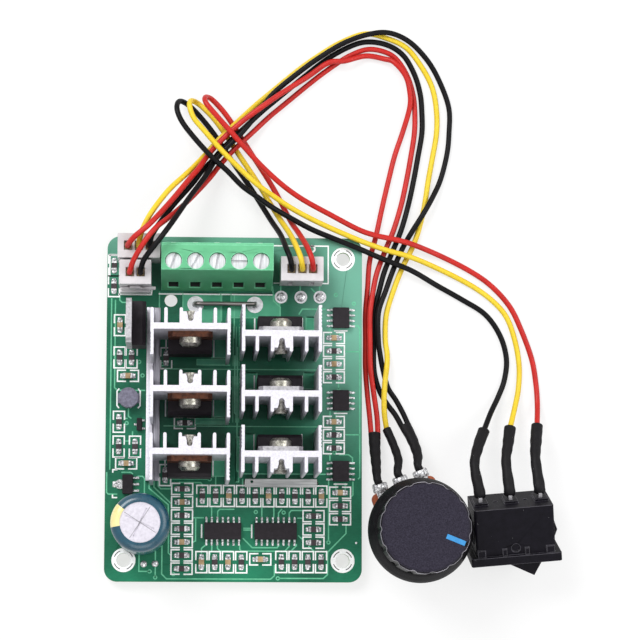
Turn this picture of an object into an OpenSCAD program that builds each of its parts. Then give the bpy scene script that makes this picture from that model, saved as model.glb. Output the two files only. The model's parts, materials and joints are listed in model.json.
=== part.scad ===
// Brushless motor controller board with its speed knob and direction switch.
// Units are millimetres. The origin is the lower left mounting hole, at the underside of the board.
// +X runs along the board's short side, +Y towards the terminal block and +Z up from the board.

/* [Board] */
// Width of the board, along X
board_width = 60; // [60:0.5:63]
// Depth of the board, along Y
board_depth = 81; // [81:0.5:84]
// Thickness of the board
board_thickness = 1.6; // [1.2:0.1:2]
// Radius of the board's corners
board_corner = 3; // [2:0.5:4]
// Diameter of the three mounting holes
hole_d = 3.2; // [3:0.1:3.5]

/* [Heatsinks] */
// Width of one heatsink
heatsink_width = 18.2; // [17.6:0.1:18.4]
// Height of one heatsink above the board
heatsink_height = 23; // [21:0.5:27]
// Thickness of the web that the transistor is screwed to
web_thickness = 1.4; // [1.2:0.1:1.6]
// Thickness of the fins and of the two side walls
fin_thickness = 0.75; // [0.6:0.05:0.9]
// Depth of the fins beyond the web
fin_depth = 3.5; // [3.1:0.1:3.6]
// Depth of the side walls on the transistor's side of the web
wall_depth = 5.8; // [5:0.1:5.9]

/* [Power transistors] */
// Width of a transistor package
package_width = 10.2; // [9.8:0.1:10.4]
// Thickness of its metal tab
tab_thickness = 1.3; // [1.1:0.1:1.4]
// Height of its plastic body
package_height = 9.1; // [8.6:0.1:9.4]
// Height of the package's lower edge above the board
package_lift = 3.2; // [2.8:0.1:4]
// Diameter of the transistor screw
screw_d = 2.9; // [2.6:0.1:3]

/* [Terminal block] */
// Number of poles
poles = 5; // [5:1:5]
// Distance from pole to pole
pole_pitch = 5.08; // [5:0.02:5.1]
// Height of the block above the board
block_height = 12; // [11.8:0.1:12.6]
// Diameter of a clamp screw's head
clamp_screw_d = 3.7; // [3.3:0.1:3.8]
// Rise of a clamp between open and shut
clamp_travel = 2; // [1.6:0.1:2]

/* [Plug connectors] */
// Distance from contact to contact
contact_pitch = 2.5; // [2.5:0.02:2.54]
// Depth of a connector, along Y
connector_depth = 5.7; // [5.5:0.05:5.75]
// Height of a header's shell above the board
shell_height = 7; // [6.6:0.1:7.4]
// Height of the plug's collar above the shell
collar_height = 2.8; // [2.6:0.1:3.2]

/* [Smoothing capacitor] */
// Diameter of the aluminium can
can_d = 13; // [12.5:0.1:13.2]
// Height of the can
can_height = 20.5; // [18:0.5:23]

/* [Speed knob] */
// Diameter of the knob's skirt
skirt_d = 24.2; // [23.4:0.1:24.6]
// Diameter of the knob's cap
cap_d = 20.6; // [19.8:0.1:21]
// Height of the knob
knob_height = 15.5; // [14.5:0.1:17]
// Direction of the pointer as it lies, in degrees from +X
pointer_angle = -22; // [-40:1:10]
// Diameter of the potentiometer's shaft
shaft_d = 6; // [5.8:0.1:6.2]

/* [Direction switch] */
// Length of the switch's flange
flange_length = 21; // [20.6:0.1:21.6]
// Width of the flange
flange_width = 15; // [14.8:0.1:15.2]
// Depth of the switch body behind the flange
body_depth = 11.2; // [11:0.1:12]
// Angle by which the rocker tips to each side
rocker_tip = 15; // [12:0.5:15]

/* [Wires] */
// Diameter of a wire over its insulation
wire_d = 1.3; // [1.1:0.05:1.3]

/* [Hidden] */
$fn = 48;

overrun = 0.5;
seat_gap = 0.05;
slip_gap = 0.1;
lead_drop = 2;
floor_z = -lead_drop;
edge_x = 4.5;
edge_y = 5;
top_z = board_thickness;
hole_span_x = board_width - 2 * edge_x;
hole_span_y = board_depth - 2 * edge_y;
mount_holes = [[0, 0], [hole_span_x, 0], [hole_span_x, hole_span_y]];
plain_hole = [10.5, 60.9];
plain_hole_d = 3;

green = "#1f7a4a";
block_green = "#2fa866";
ceramic = "#2b2b2e";
tan_ceramic = "#b8977e";
tin = "#d9d9d6";
epoxy = "#26262a";
steel = "#b9b9b4";
brass = "#c9b26b";
aluminium = "#dadbe0";
nylon = "#f0eeea";
teal = "#1f4d5c";
brown = "#8a4a22";
knob_grey = "#33323a";
blue = "#3a8fd0";
black = "#1c1c1f";
wire_red = "#cf2a1e";
wire_yellow = "#e0b92a";

// Solder and trimmed leads under the board
cone_r = 1;
cone_tip_r = 0.4;
cone_h = 1.2;
hole_slack = 0.15;

module lead_end(width, depth) {
    translate([0, 0, -cone_h])
        cylinder(h = cone_h, r1 = cone_tip_r, r2 = cone_r, $fn = 24);
    translate([-width / 2, -depth / 2, floor_z])
        cube([width, depth, -floor_z - cone_h + overrun]);
}

module square_lead(at, width, depth, top) {
    translate([at.x, at.y, 0]) {
        lead_end(width, depth);
        translate([-width / 2, -depth / 2, -overrun])
            cube([width, depth, top + overrun]);
    }
}

// Terminal block
block_wall = 0.3;
block_length = poles * pole_pitch + 2 * block_wall;
block_left = 8.2;
block_x = block_left + block_length / 2;
block_back = 73;
block_depth = 9.8;
screw_inset = 4.2;
block_top_depth = 6.4;
block_front = block_back - block_depth;
block_top = top_z + block_height;
screw_y = block_back - screw_inset;
recess_depth = 1.1;
head_h = 1.5;
head_z = block_top - recess_depth - head_h;
head_seat = 0.2;
chamber_top = head_z - head_seat;
clamp_width = 3.5;
clamp_depth = 4.6;
clamp_wall = 0.5;
clamp_top_h = 1.2;
clamp_base_h = 0.8;
clamp_z = 2.9;
clamp_head_z = chamber_top - slip_gap - clamp_travel - clamp_top_h;
tongue_h = 0.8;
tongue_z = clamp_head_z - slip_gap - tongue_h;
chamber_bottom = clamp_z - slip_gap;
chamber_front = screw_y - clamp_depth / 2 - slip_gap;
leg_thickness = 0.6;
leg_width = 0.8;
leg_gap = 0.3;
leg_y = screw_y + clamp_depth / 2 + leg_gap;
chamber_back = leg_y + leg_thickness + slip_gap;
tongue_width = 1.9;
window_width = 2.5;
window_z = clamp_z + clamp_base_h;
window_h = 3;
shank_d = clamp_width - 2 * clamp_wall - 2 * seat_gap;
slot_width = 0.6;
slot_depth = 0.8;
slot_angles = [70, 60, 80, 0, 80];

function pole_x(i) = block_x + (i - (poles - 1) / 2) * pole_pitch;

module block_profile() {
    slope_foot = 0.5;
    polygon([[block_front, top_z], [block_back, top_z], [block_back, block_top],
        [block_back - block_top_depth, block_top], [block_front, top_z + slope_foot]]);
}

module terminal_block_housing() {
    groove_h = 0.25;
    groove_w = 0.5;
    color(block_green)
        difference() {
            translate([block_x - block_length / 2, 0, 0])
                rotate([90, 0, 90])
                    linear_extrude(block_length)
                        block_profile();
            for (i = [0:poles - 1])
                translate([pole_x(i), 0, 0])
                    pole_cut();
            translate([block_x - block_length / 2 - overrun, block_back - groove_w, block_top - groove_h])
                cube([block_length + 2 * overrun, groove_w + overrun, groove_h + overrun]);
        }
}

module pole_cut() {
    head_slack = 0.1;
    half = clamp_width / 2 + slip_gap;
    translate([-half, chamber_front, chamber_bottom])
        cube([2 * half, chamber_back - chamber_front, chamber_top - chamber_bottom]);
    translate([0, screw_y, chamber_top - overrun])
        cylinder(h = head_z - chamber_top + 2 * overrun, d = shank_d + 2 * slip_gap);
    translate([0, screw_y, head_z])
        cylinder(h = block_top - head_z + overrun, d = clamp_screw_d + 2 * head_slack);
    translate([-window_width / 2, block_front - overrun, window_z])
        cube([window_width, chamber_front - block_front + 2 * overrun, window_h]);
    translate([-leg_width / 2 - slip_gap, leg_y - slip_gap, top_z - overrun])
        cube([leg_width + 2 * slip_gap, leg_thickness + 2 * slip_gap, chamber_bottom - top_z + 2 * overrun]);
}

module terminal_screw(i) {
    shank_end = tongue_z + tongue_h + seat_gap;
    color(steel)
        translate([pole_x(i), screw_y, 0])
            difference() {
                union() {
                    translate([0, 0, head_z])
                        cylinder(h = head_h, d = clamp_screw_d);
                    translate([0, 0, shank_end])
                        cylinder(h = head_z - shank_end + overrun, d = shank_d);
                }
                rotate([0, 0, slot_angles[i]])
                    translate([-clamp_screw_d, -slot_width / 2, head_z + head_h - slot_depth])
                        cube([2 * clamp_screw_d, slot_width, slot_depth + overrun]);
            }
}

module wire_clamp(i) {
    clamp_h = clamp_head_z + clamp_top_h - clamp_z;
    color(brass)
        translate([pole_x(i), screw_y, clamp_z])
            difference() {
                translate([-clamp_width / 2, -clamp_depth / 2, 0])
                    cube([clamp_width, clamp_depth, clamp_h]);
                translate([-clamp_width / 2 + clamp_wall, -clamp_depth / 2 - overrun, clamp_base_h])
                    cube([clamp_width - 2 * clamp_wall, clamp_depth + 2 * overrun,
                        clamp_h - clamp_base_h - clamp_top_h]);
                translate([0, 0, clamp_h - clamp_top_h - overrun])
                    cylinder(h = clamp_top_h + 2 * overrun, d = shank_d + 2 * seat_gap);
            }
}

module terminal_pins() {
    tongue_front = screw_y - clamp_depth / 2;
    color(tin)
        for (i = [0:poles - 1])
            translate([pole_x(i), 0, 0]) {
                translate([-tongue_width / 2, tongue_front, tongue_z])
                    cube([tongue_width, leg_y + leg_thickness - tongue_front, tongue_h]);
                translate([-leg_width / 2, leg_y, 0])
                    cube([leg_width, leg_thickness, tongue_z + tongue_h]);
                translate([0, leg_y + leg_thickness / 2, 0])
                    lead_end(leg_width, leg_thickness);
            }
}

// Heatsinks, their transistors and screws
left_x = 15.05;
right_x = 35.8;
left_webs = [51.6, 37.4, 23.2];
right_webs = [51.5, 37.8, 24.1];
block_half = 2.5;
shoulder = 0.9;
screw_slot = 1.3;
mouth_width = 1.9;
slot_floor = 0.4;
inner_fin_x = 5.6;
tooth_pitch = 0.8;
tooth_depth = 0.18;
tooth_start = 0.4;
mouth_taper = 1;
tab_hole_up = 12.9;
hole_height = package_lift + tab_hole_up;
tab_height = 15.7;
tab_chamfer = 1;
body_thickness = 4.5;
lead_pitch = 2.54;
lead_w = 0.8;
lead_t = 0.5;
lead_y = 2.6;
screw_head_d = 5;
screw_head_h = 2;
screw_tip = 0.8;

module fin(x, reach) {
    translate([x - fin_thickness / 2, 0])
        square([fin_thickness, reach - fin_thickness / 2]);
    translate([x, reach - fin_thickness / 2])
        circle(d = fin_thickness, $fn = 24);
}

// One side wall: its serrated part stands beside the transistor and its plain part is the outermost fin
module side_wall(side, reach) {
    outer = heatsink_width / 2;
    teeth = floor((wall_depth - tooth_start) / tooth_pitch);
    inner = outer - fin_thickness;
    first_tooth = tooth_start - wall_depth;
    end = reach - fin_thickness / 2;
    points = concat([[inner, end], [inner, -wall_depth], [outer, -wall_depth]],
        [for (k = [0:teeth - 1], j = [0:1])
            [outer - tooth_depth * j, first_tooth + tooth_pitch * (k + j / 2)]],
        [[outer, first_tooth + tooth_pitch * teeth], [outer, end]]);
    last = len(points) - 1;
    polygon([for (k = [0:last]) let (p = points[side > 0 ? k : last - k]) [side * p[0], p[1]]]);
    translate([side * (outer - fin_thickness / 2), end])
        circle(d = fin_thickness, $fn = 24);
}

module heatsink_profile() {
    tip = web_thickness + fin_depth;
    web_half = (heatsink_width - fin_thickness) / 2;
    slot_bottom = web_thickness + slot_floor;
    difference() {
        union() {
            translate([-web_half, 0])
                square([2 * web_half, web_thickness]);
            for (side = [-1, 1]) {
                side_wall(side, tip);
                fin(side * inner_fin_x, tip);
                fin(side * (block_half - fin_thickness / 2), tip);
            }
            translate([-block_half, 0])
                square([2 * block_half, tip - shoulder]);
        }
        translate([-screw_slot / 2, slot_bottom + screw_slot / 2])
            square([screw_slot, fin_depth]);
        translate([0, slot_bottom + screw_slot / 2])
            circle(d = screw_slot, $fn = 24);
        polygon([[-screw_slot / 2, tip - shoulder - mouth_taper],
            [screw_slot / 2, tip - shoulder - mouth_taper],
            [mouth_width / 2, tip - shoulder], [mouth_width / 2, tip], [-mouth_width / 2, tip],
            [-mouth_width / 2, tip - shoulder]]);
    }
}

// Places a heatsink group: its fins face +Y on the left and -Y on the right
module power_place(i) {
    at = i < 3 ? [left_x, left_webs[i]] : [right_x, right_webs[i - 3]];
    translate([at.x, at.y, top_z])
        rotate([0, 0, i < 3 ? 0 : 180])
            children();
}

module heatsink(i) {
    color(aluminium)
        power_place(i)
            difference() {
                linear_extrude(heatsink_height)
                    heatsink_profile();
                translate([0, -overrun, hole_height])
                    rotate([-90, 0, 0])
                        cylinder(h = web_thickness + fin_depth + 2 * overrun, d = screw_d + 2 * seat_gap);
            }
}

module package_body() {
    draft = 0.4;
    rotate([90, 0, 90])
        translate([0, 0, -package_width / 2])
            linear_extrude(package_width)
                polygon([[-tab_thickness, package_lift], [-body_thickness + draft, package_lift],
                    [-body_thickness, package_lift + draft],
                    [-body_thickness, package_lift + package_height - 2 * draft],
                    [-body_thickness + 2 * draft, package_lift + package_height],
                    [-tab_thickness, package_lift + package_height]]);
}

module package_frame() {
    half = package_width / 2;
    end = package_lift + tab_height;
    rotate([90, 0, 0])
        linear_extrude(tab_thickness)
            difference() {
                polygon([[-half, package_lift], [half, package_lift], [half, end - tab_chamfer],
                    [half - tab_chamfer, end], [-half + tab_chamfer, end], [-half, end - tab_chamfer]]);
                translate([0, hole_height])
                    circle(d = screw_d + 2 * slip_gap);
            }
    for (k = [-1:1])
        translate([k * lead_pitch, -lead_y, -top_z]) {
            lead_end(lead_w, lead_t);
            translate([-lead_w / 2, -lead_t / 2, -overrun])
                cube([lead_w, lead_t, top_z + package_lift + overrun]);
        }
}

regulator_at = [0.3, 54.1];
regulator_turn = 90;

module regulator_place() {
    translate([regulator_at.x, regulator_at.y, top_z])
        rotate([0, 0, regulator_turn])
            children();
}

module power_bodies() {
    color(epoxy) {
        for (i = [0:5])
            power_place(i)
                package_body();
        regulator_place()
            package_body();
    }
}

module power_frames() {
    color(tin) {
        for (i = [0:5])
            power_place(i)
                package_frame();
        regulator_place()
            package_frame();
    }
}

module heatsink_screws() {
    rim = 0.7;
    cross = 0.7;
    cross_length = 3;
    cross_depth = 0.9;
    reach = web_thickness + fin_depth - shoulder + screw_tip;
    color(brass)
        for (i = [0:5])
            power_place(i)
                translate([0, -tab_thickness, hole_height])
                    rotate([-90, 0, 0])
                        difference() {
                            rotate_extrude()
                                polygon([[0, -screw_head_h], [screw_head_d / 2 - rim, -screw_head_h],
                                    [screw_head_d / 2, -screw_head_h + rim], [screw_head_d / 2, 0],
                                    [screw_d / 2, 0], [screw_d / 2, tab_thickness + reach],
                                    [0, tab_thickness + reach]]);
                            for (turn = [45, 135])
                                rotate([0, 0, turn])
                                    translate([-cross_length / 2, -cross / 2, -screw_head_h - overrun])
                                        cube([cross_length, cross, cross_depth + overrun]);
                        }
}

// Plug connectors: the pot's sense and supply plugs at the left, the switch's plug at the right
shell_wall = 0.8;
shell_end = 2.45;
shell_base = 2.2;
pin_w = 0.64;
pin_top = 6.4;
recess_w = 1.9;
recess_l = 2.1;
recess_h = 2;
crimp_w = 1.75;
crimp_h = 1.1;
crimp_bore = wire_d + 2 * seat_gap;
sense_at = [3, 72.5];
supply_at = [2.2, 66.3];
plug_gap = 1.8;
switch_plug_at = [block_left + block_length + plug_gap + connector_width(3) / 2, 67.4];
connectors = [[sense_at, 3], [supply_at, 2], [switch_plug_at, 3]];

function connector_width(n) = (n - 1) * contact_pitch + 2 * shell_end;
function contact_x(n, k) = (k - (n - 1) / 2) * contact_pitch;

module header_shell(c) {
    at = c[0];
    n = c[1];
    width = connector_width(n);
    notch_w = 1;
    color(nylon)
        translate([at.x, at.y, top_z])
            difference() {
                translate([-width / 2, -connector_depth / 2, 0])
                    cube([width, connector_depth, shell_height]);
                translate([-width / 2 + shell_wall, -connector_depth / 2 + shell_wall, shell_base])
                    cube([width - 2 * shell_wall, connector_depth - 2 * shell_wall, shell_height]);
                for (side = [-1, 1])
                    translate([side * (width / 2 - shell_end) - notch_w / 2,
                        -connector_depth / 2 - overrun, shell_base])
                        cube([notch_w, shell_wall + 2 * overrun, shell_height]);
                for (k = [0:n - 1])
                    translate([contact_x(n, k) - pin_w / 2, -pin_w / 2, -overrun])
                        cube([pin_w, pin_w, shell_base + 2 * overrun]);
            }
}

module plug_shell(c) {
    at = c[0];
    n = c[1];
    width = connector_width(n);
    insert_w = width - 2 * (shell_wall + slip_gap);
    insert_d = connector_depth - 2 * (shell_wall + slip_gap);
    pin_hole = pin_w + 2 * slip_gap;
    insert_h = shell_height - shell_base - slip_gap;
    color(nylon)
        translate([at.x, at.y, top_z])
            difference() {
                union() {
                    translate([-insert_w / 2, -insert_d / 2, shell_base + slip_gap])
                        cube([insert_w, insert_d, insert_h + overrun]);
                    translate([-width / 2, -connector_depth / 2, shell_height])
                        cube([width, connector_depth, collar_height]);
                }
                for (k = [0:n - 1])
                    translate([contact_x(n, k), 0, 0]) {
                        translate([-pin_hole / 2, -pin_hole / 2, shell_base])
                            cube([pin_hole, pin_hole, pin_top + slip_gap - shell_base]);
                        translate([-recess_w / 2, -recess_l / 2, shell_height + collar_height - recess_h])
                            cube([recess_w, recess_l, recess_h + overrun]);
                    }
            }
}

module header_pins() {
    color(tin)
        for (c = connectors, k = [0:c[1] - 1])
            square_lead([c[0].x + contact_x(c[1], k), c[0].y], pin_w, pin_w, top_z + pin_top);
}

module crimp_contacts() {
    floor_h = top_z + shell_height + collar_height - recess_h;
    color(brass)
        for (c = connectors, k = [0:c[1] - 1])
            translate([c[0].x + contact_x(c[1], k), c[0].y, floor_h])
                difference() {
                    translate([-crimp_w / 2, -crimp_w / 2, 0])
                        cube([crimp_w, crimp_w, crimp_h]);
                    translate([0, 0, -overrun])
                        cylinder(h = crimp_h + 2 * overrun, d = crimp_bore, $fn = 24);
                }
}

// Smoothing capacitor
can_at = [4, 7.9];
can_lift = 0.3;
shoulder_r = 1.7;
sleeve_t = 0.2;
sleeve_lip = 1.9;
can_lead_pitch = 5;
can_lead_d = 0.8;
can_lead_turn = 20;

module capacitor_can() {
    r = can_d / 2;
    groove = 0.4;
    groove_z = 2.4;
    vent_w = 0.35;
    vent_depth = 0.2;
    vent_length = 7;
    color(aluminium) {
        translate([can_at.x, can_at.y, top_z + can_lift])
            difference() {
                rotate_extrude($fn = 96)
                    difference() {
                        union() {
                            square([r, can_height - shoulder_r]);
                            square([r - shoulder_r, can_height]);
                            translate([r - shoulder_r, can_height - shoulder_r])
                                circle(r = shoulder_r);
                        }
                        translate([-2 * r, -overrun])
                            square([2 * r, can_height + 2 * overrun]);
                        translate([r + groove / 2, groove_z])
                            circle(r = groove);
                    }
                for (turn = [45, 135])
                    rotate([0, 0, turn + can_lead_turn])
                        translate([-vent_length / 2, -vent_w / 2, can_height - vent_depth])
                            cube([vent_length, vent_w, vent_depth + overrun]);
            }
        for (side = [-1, 1])
            translate([can_at.x, can_at.y, 0])
                rotate([0, 0, can_lead_turn])
                    translate([side * can_lead_pitch / 2, 0, 0]) {
                        translate([0, 0, -cone_h])
                            cylinder(h = cone_h, r1 = cone_tip_r, r2 = cone_r, $fn = 24);
                        translate([0, 0, floor_z])
                            cylinder(h = top_z + can_lift - floor_z, d = can_lead_d, $fn = 24);
                    }
    }
}

module capacitor_sleeve() {
    r = can_d / 2;
    lip_r = r - sleeve_lip;
    color(teal)
        translate([can_at.x, can_at.y, top_z + can_lift])
            rotate_extrude($fn = 96)
                difference() {
                    union() {
                        square([r + sleeve_t, can_height - shoulder_r]);
                        square([r - shoulder_r, can_height + sleeve_t]);
                        translate([r - shoulder_r, can_height - shoulder_r])
                            circle(r = shoulder_r + sleeve_t);
                    }
                    translate([-2 * r, -overrun])
                        square([2 * r, can_height + 2 * overrun]);
                    square([r, can_height - shoulder_r]);
                    square([r - shoulder_r, can_height]);
                    translate([r - shoulder_r, can_height - shoulder_r])
                        circle(r = shoulder_r);
                    translate([-overrun, -overrun])
                        square([lip_r + overrun, can_height + 2 * overrun + sleeve_t]);
                }
}

// Surface mounted passives, each [x, y, turn, kind], where kind 0 is a resistor and 1 a capacitor. A row of
// upright ones runs along X and a stack of level ones runs down.
row_pitch = 3.09;
passive_length = 2;
passive_width = 1.25;
end_length = 0.4;
resistor_h = 0.5;
ceramic_h = 0.8;
fillet = 0.45;
fillet_share = 0.7;
top_row_at = [18.2, 15];
left_stack_at = [13.5, 16.6];
inner_stack_at = [44.2, 10.4];
outer_stack_at = [50.4, 15.9];
low_row_at = [18.1, -0.4];
corner_row_at = [36.7, -0.3];
driver_stack_at = [48.9, 52.3];
driver_low_stack_at = [48.9, 32.5];
lone_places = [[31.8, 0.3], [-1.4, 54.9], [-1.4, 47.3], [1.4, 47.3], [0.6, 43], [-1.4, 32.2], [-1.4, 26.4],
    [2.4, 26.4], [0.4, 22.5], [-2.9, 69], [-2.9, 64.1], [9.5, 47.2], [14, 32], [9.5, 19.8]];
lone_turns = [0, 90, 90, 90, 0, 90, 90, 90, 0, 90, 90, 90, 0, 90];
lone_kinds = [1, 1, 0, 0, 1, 0, 0, 0, 1, 0, 0, 0, 0, 0];

function row_of(at, turn, kinds) = [for (i = [0:len(kinds) - 1])
    [at.x + (turn == 90 ? row_pitch * i : 0), at.y - (turn == 0 ? row_pitch * i : 0), turn, kinds[i]]];
passives = concat(
    row_of(top_row_at, 90, [0, 0, 1, 0, 0, 1, 0, 0, 0, 1]),
    row_of(left_stack_at, 0, [0, 1, 0, 0, 1, 0, 0]),
    row_of(inner_stack_at, 0, [0, 0, 0]),
    row_of(outer_stack_at, 0, [1, 0, 0]),
    row_of(low_row_at, 90, [1, 0, 1, 0]),
    row_of(corner_row_at, 90, [0, 0, 0, 0]),
    row_of(driver_stack_at, 0, [1, 0, 1, 0]),
    row_of(driver_low_stack_at, 0, [1, 0, 0]),
    [for (i = [0:len(lone_places) - 1]) [lone_places[i].x, lone_places[i].y, lone_turns[i], lone_kinds[i]]]);

module passive_bodies(kind, height) {
    for (p = passives)
        if (p[3] == kind)
            translate([p[0], p[1], top_z])
                rotate([0, 0, p[2]])
                    translate([-passive_length / 2 + end_length, -passive_width / 2, 0])
                        cube([passive_length - 2 * end_length, passive_width, height]);
}

module smd_resistors() {
    color(ceramic)
        passive_bodies(0, resistor_h);
}

module smd_capacitors() {
    color(tan_ceramic)
        passive_bodies(1, ceramic_h);
}

module smd_ends() {
    half = passive_length / 2;
    color(tin)
        for (p = passives, side = [0, 180])
            let (height = p[3] == 0 ? resistor_h : ceramic_h)
                translate([p[0], p[1], top_z])
                    rotate([0, 0, p[2] + side])
                        translate([0, passive_width / 2, 0])
                            rotate([90, 0, 0])
                                linear_extrude(passive_width)
                                    polygon([[half - end_length, 0], [half + fillet, 0],
                                        [half, height * fillet_share], [half, height],
                                        [half - end_length, height]]);
}

// Chips: where each stands, its turn and its leads on one side
chip_pitch = 1.27;
chip_w = 3.9;
chip_end = 0.3;
chip_places = [[23, 6.8], [35.3, 6.8], [50.5, 57], [50.5, 37.5], [50.5, 20.9]];
chip_turns = [0, 0, 90, 90, 90];
chip_leads_per_side = [7, 8, 4, 4, 4];
chips = [for (i = [0:len(chip_places) - 1])
    [chip_places[i].x, chip_places[i].y, chip_turns[i], chip_leads_per_side[i], chip_w]];
chip_h = 1.45;
chip_lift = 0.15;
gull_t = 0.2;
gull_w = 0.42;
gull_run = 1.05;
gull_foot = 0.6;

function chip_length(c) = c[3] * chip_pitch - chip_end;

module chip_body(length, width, height) {
    draft = 0.12;
    mid = height * 0.5;
    rotate([90, 0, 90])
        translate([0, 0, -length / 2])
            linear_extrude(length)
                polygon([[-width / 2 + draft, 0], [width / 2 - draft, 0], [width / 2, mid],
                    [width / 2 - draft, height], [-width / 2 + draft, height], [-width / 2, mid]]);
}

module gull_wing(start, run, height) {
    knee = run - gull_foot;
    rotate([90, 0, 90])
        translate([0, 0, -gull_w / 2])
            linear_extrude(gull_w)
                polygon([[start, height], [start, height + gull_t], [start + knee, height + gull_t],
                    [start + knee + gull_t, gull_t], [start + run, gull_t], [start + run, 0],
                    [start + knee, 0], [start + knee - gull_t, height]]);
}

// Small packages at the left edge: a three lead transistor and a three lead regulator with a tab
small_at = [3.4, 31.6];
small_size = [1.3, 2.9, 1];
tabbed_at = [0.8, 17.6];
tabbed_size = [2.5, 4.5, 1.5];
tabbed_pitch = 1.5;

module chip_bodies() {
    color(epoxy) {
        for (c = chips)
            translate([c[0], c[1], top_z + chip_lift])
                rotate([0, 0, c[2]])
                    chip_body(chip_length(c), c[4], chip_h);
        translate([small_at.x, small_at.y, top_z + chip_lift])
            rotate([0, 0, 90])
                chip_body(small_size.y, small_size.x, small_size.z);
        translate([tabbed_at.x, tabbed_at.y, top_z])
            rotate([0, 0, 90])
                chip_body(tabbed_size.y, tabbed_size.x, tabbed_size.z);
    }
}

module chip_leads() {
    lead_height = chip_lift + chip_h / 2 - gull_t / 2;
    small_run = 0.6;
    small_pitch = 0.95;
    tab_run = 1.1;
    tab_h = 0.4;
    color(tin) {
        for (c = chips, k = [0:c[3] - 1], side = [0, 180])
            translate([c[0], c[1], top_z])
                rotate([0, 0, c[2] + side])
                    translate([(k - (c[3] - 1) / 2) * chip_pitch, 0, 0])
                        gull_wing(c[4] / 2, gull_run, lead_height);
        for (lead = [[-90, -small_pitch], [-90, small_pitch], [90, 0]])
            translate([small_at.x, small_at.y, top_z])
                rotate([0, 0, lead[0]])
                    translate([lead[1], small_size.x / 2, 0])
                        translate([-gull_w / 2, 0, 0])
                            cube([gull_w, small_run, chip_lift + gull_t]);
        for (k = [-1:1])
            translate([tabbed_at.x + tabbed_size.x / 2, tabbed_at.y + k * tabbed_pitch - gull_w / 2, top_z])
                cube([tab_run, gull_w, tab_h]);
        translate([tabbed_at.x - tabbed_size.x / 2 - tab_run / 2, tabbed_at.y, top_z])
            intersection() {
                cylinder(h = tab_h, r = tab_run, $fn = 24);
                translate([-2 * tab_run, -tab_run, 0])
                    cube([2.5 * tab_run, 2 * tab_run, tab_h]);
            }
    }
}

choke_at = [0.8, 37.7];
choke_d = 4.6;
choke_h = 3.2;

module choke() {
    flange = 0.8;
    waist = 0.5;
    base_h = 0.6;
    base_proud = 0.2;
    color(steel)
        translate([choke_at.x, choke_at.y, top_z]) {
            rotate_extrude()
                polygon([[0, 0], [choke_d / 2, 0], [choke_d / 2, flange + base_h],
                    [choke_d / 2 - waist, flange + base_h], [choke_d / 2 - waist, choke_h - flange],
                    [choke_d / 2, choke_h - flange], [choke_d / 2, choke_h], [0, choke_h]]);
            translate([-choke_d / 2 - base_proud, -choke_d / 4, 0])
                cube([choke_d + 2 * base_proud, choke_d / 2, base_h]);
        }
}

// Bare jumper wire and current sensing strip
jumper_d = 0.9;
jumper_ends = [[16.3, 60], [30.2, 60]];
jumper_rise = 1.6;
jumper_bend = 1;

module jumper_wire() {
    span = jumper_ends[1].x - jumper_ends[0].x;
    bar_z = top_z + jumper_rise;
    color(tin)
        translate([jumper_ends[0].x, jumper_ends[0].y, 0]) {
            for (side = [0, 1])
                translate([side * span, 0, 0]) {
                    translate([0, 0, -cone_h])
                        cylinder(h = cone_h, r1 = cone_tip_r, r2 = cone_r, $fn = 24);
                    translate([0, 0, floor_z])
                        cylinder(h = bar_z - jumper_bend - floor_z, d = jumper_d, $fn = 24);
                    translate([0, 0, bar_z - jumper_bend])
                        mirror([side, 0, 0])
                            translate([jumper_bend, 0, 0])
                                rotate([90, 0, 0])
                                    rotate([0, 0, 90])
                                        rotate_extrude(angle = 90)
                                            translate([jumper_bend, 0])
                                                circle(d = jumper_d, $fn = 24);
                }
            translate([jumper_bend, 0, bar_z])
                rotate([0, 90, 0])
                    cylinder(h = span - 2 * jumper_bend, d = jumper_d, $fn = 24);
        }
}

strip_length = 16.8;
strip_width = 1.9;
strip_t = 0.8;
strip_lift = 0.7;
strip_x = 36.5;
strip_y = 18;
strip_hole = 0.7;
strip_hole_in = 1.6;
strip_hole_up = 0.3;
strip_leg = 1.2;

module current_strip() {
    color(tin)
        difference() {
            union() {
                translate([strip_x - strip_length / 2, strip_y - strip_width / 2, top_z + strip_lift])
                    cube([strip_length, strip_width, strip_t]);
                for (side = [-1, 1])
                    square_lead([strip_x + side * (strip_length / 2 - strip_t / 2), strip_y],
                        strip_t, strip_leg, top_z + strip_lift + strip_t / 2);
            }
            translate([strip_x - strip_length / 2 + strip_hole_in, strip_y + strip_hole_up,
                top_z + strip_lift - overrun])
                cylinder(h = strip_t + 2 * overrun, d = strip_hole, $fn = 24);
        }
}

// Board with every hole that a lead passes through, each entry being [x, y, diameter]
function spun(at, offset, turn) = [at[0] + offset[0] * cos(turn) - offset[1] * sin(turn),
    at[1] + offset[0] * sin(turn) + offset[1] * cos(turn)];
lead_hole_d = norm([lead_w, lead_t]) + hole_slack;
lead_holes = concat(
    [for (i = [0:poles - 1])
        [pole_x(i), leg_y + leg_thickness / 2, norm([leg_width, leg_thickness]) + hole_slack]],
    [for (i = [0:5], k = [-1:1])
        let (at = i < 3 ? [left_x, left_webs[i]] : [right_x, right_webs[i - 3]],
            p = spun(at, [k * lead_pitch, -lead_y], i < 3 ? 0 : 180))
            [p[0], p[1], lead_hole_d]],
    [for (k = [-1:1]) let (p = spun(regulator_at, [k * lead_pitch, -lead_y], regulator_turn))
        [p[0], p[1], lead_hole_d]],
    [for (c = connectors, k = [0:c[1] - 1])
        [c[0].x + contact_x(c[1], k), c[0].y, norm([pin_w, pin_w]) + hole_slack]],
    [for (side = [-1, 1]) let (p = spun(can_at, [side * can_lead_pitch / 2, 0], can_lead_turn))
        [p[0], p[1], can_lead_d + hole_slack]],
    [for (end = jumper_ends) [end.x, end.y, jumper_d + hole_slack]],
    [for (side = [-1, 1])
        [strip_x + side * (strip_length / 2 - strip_t / 2), strip_y,
            norm([strip_t, strip_leg]) + hole_slack]]);

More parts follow.
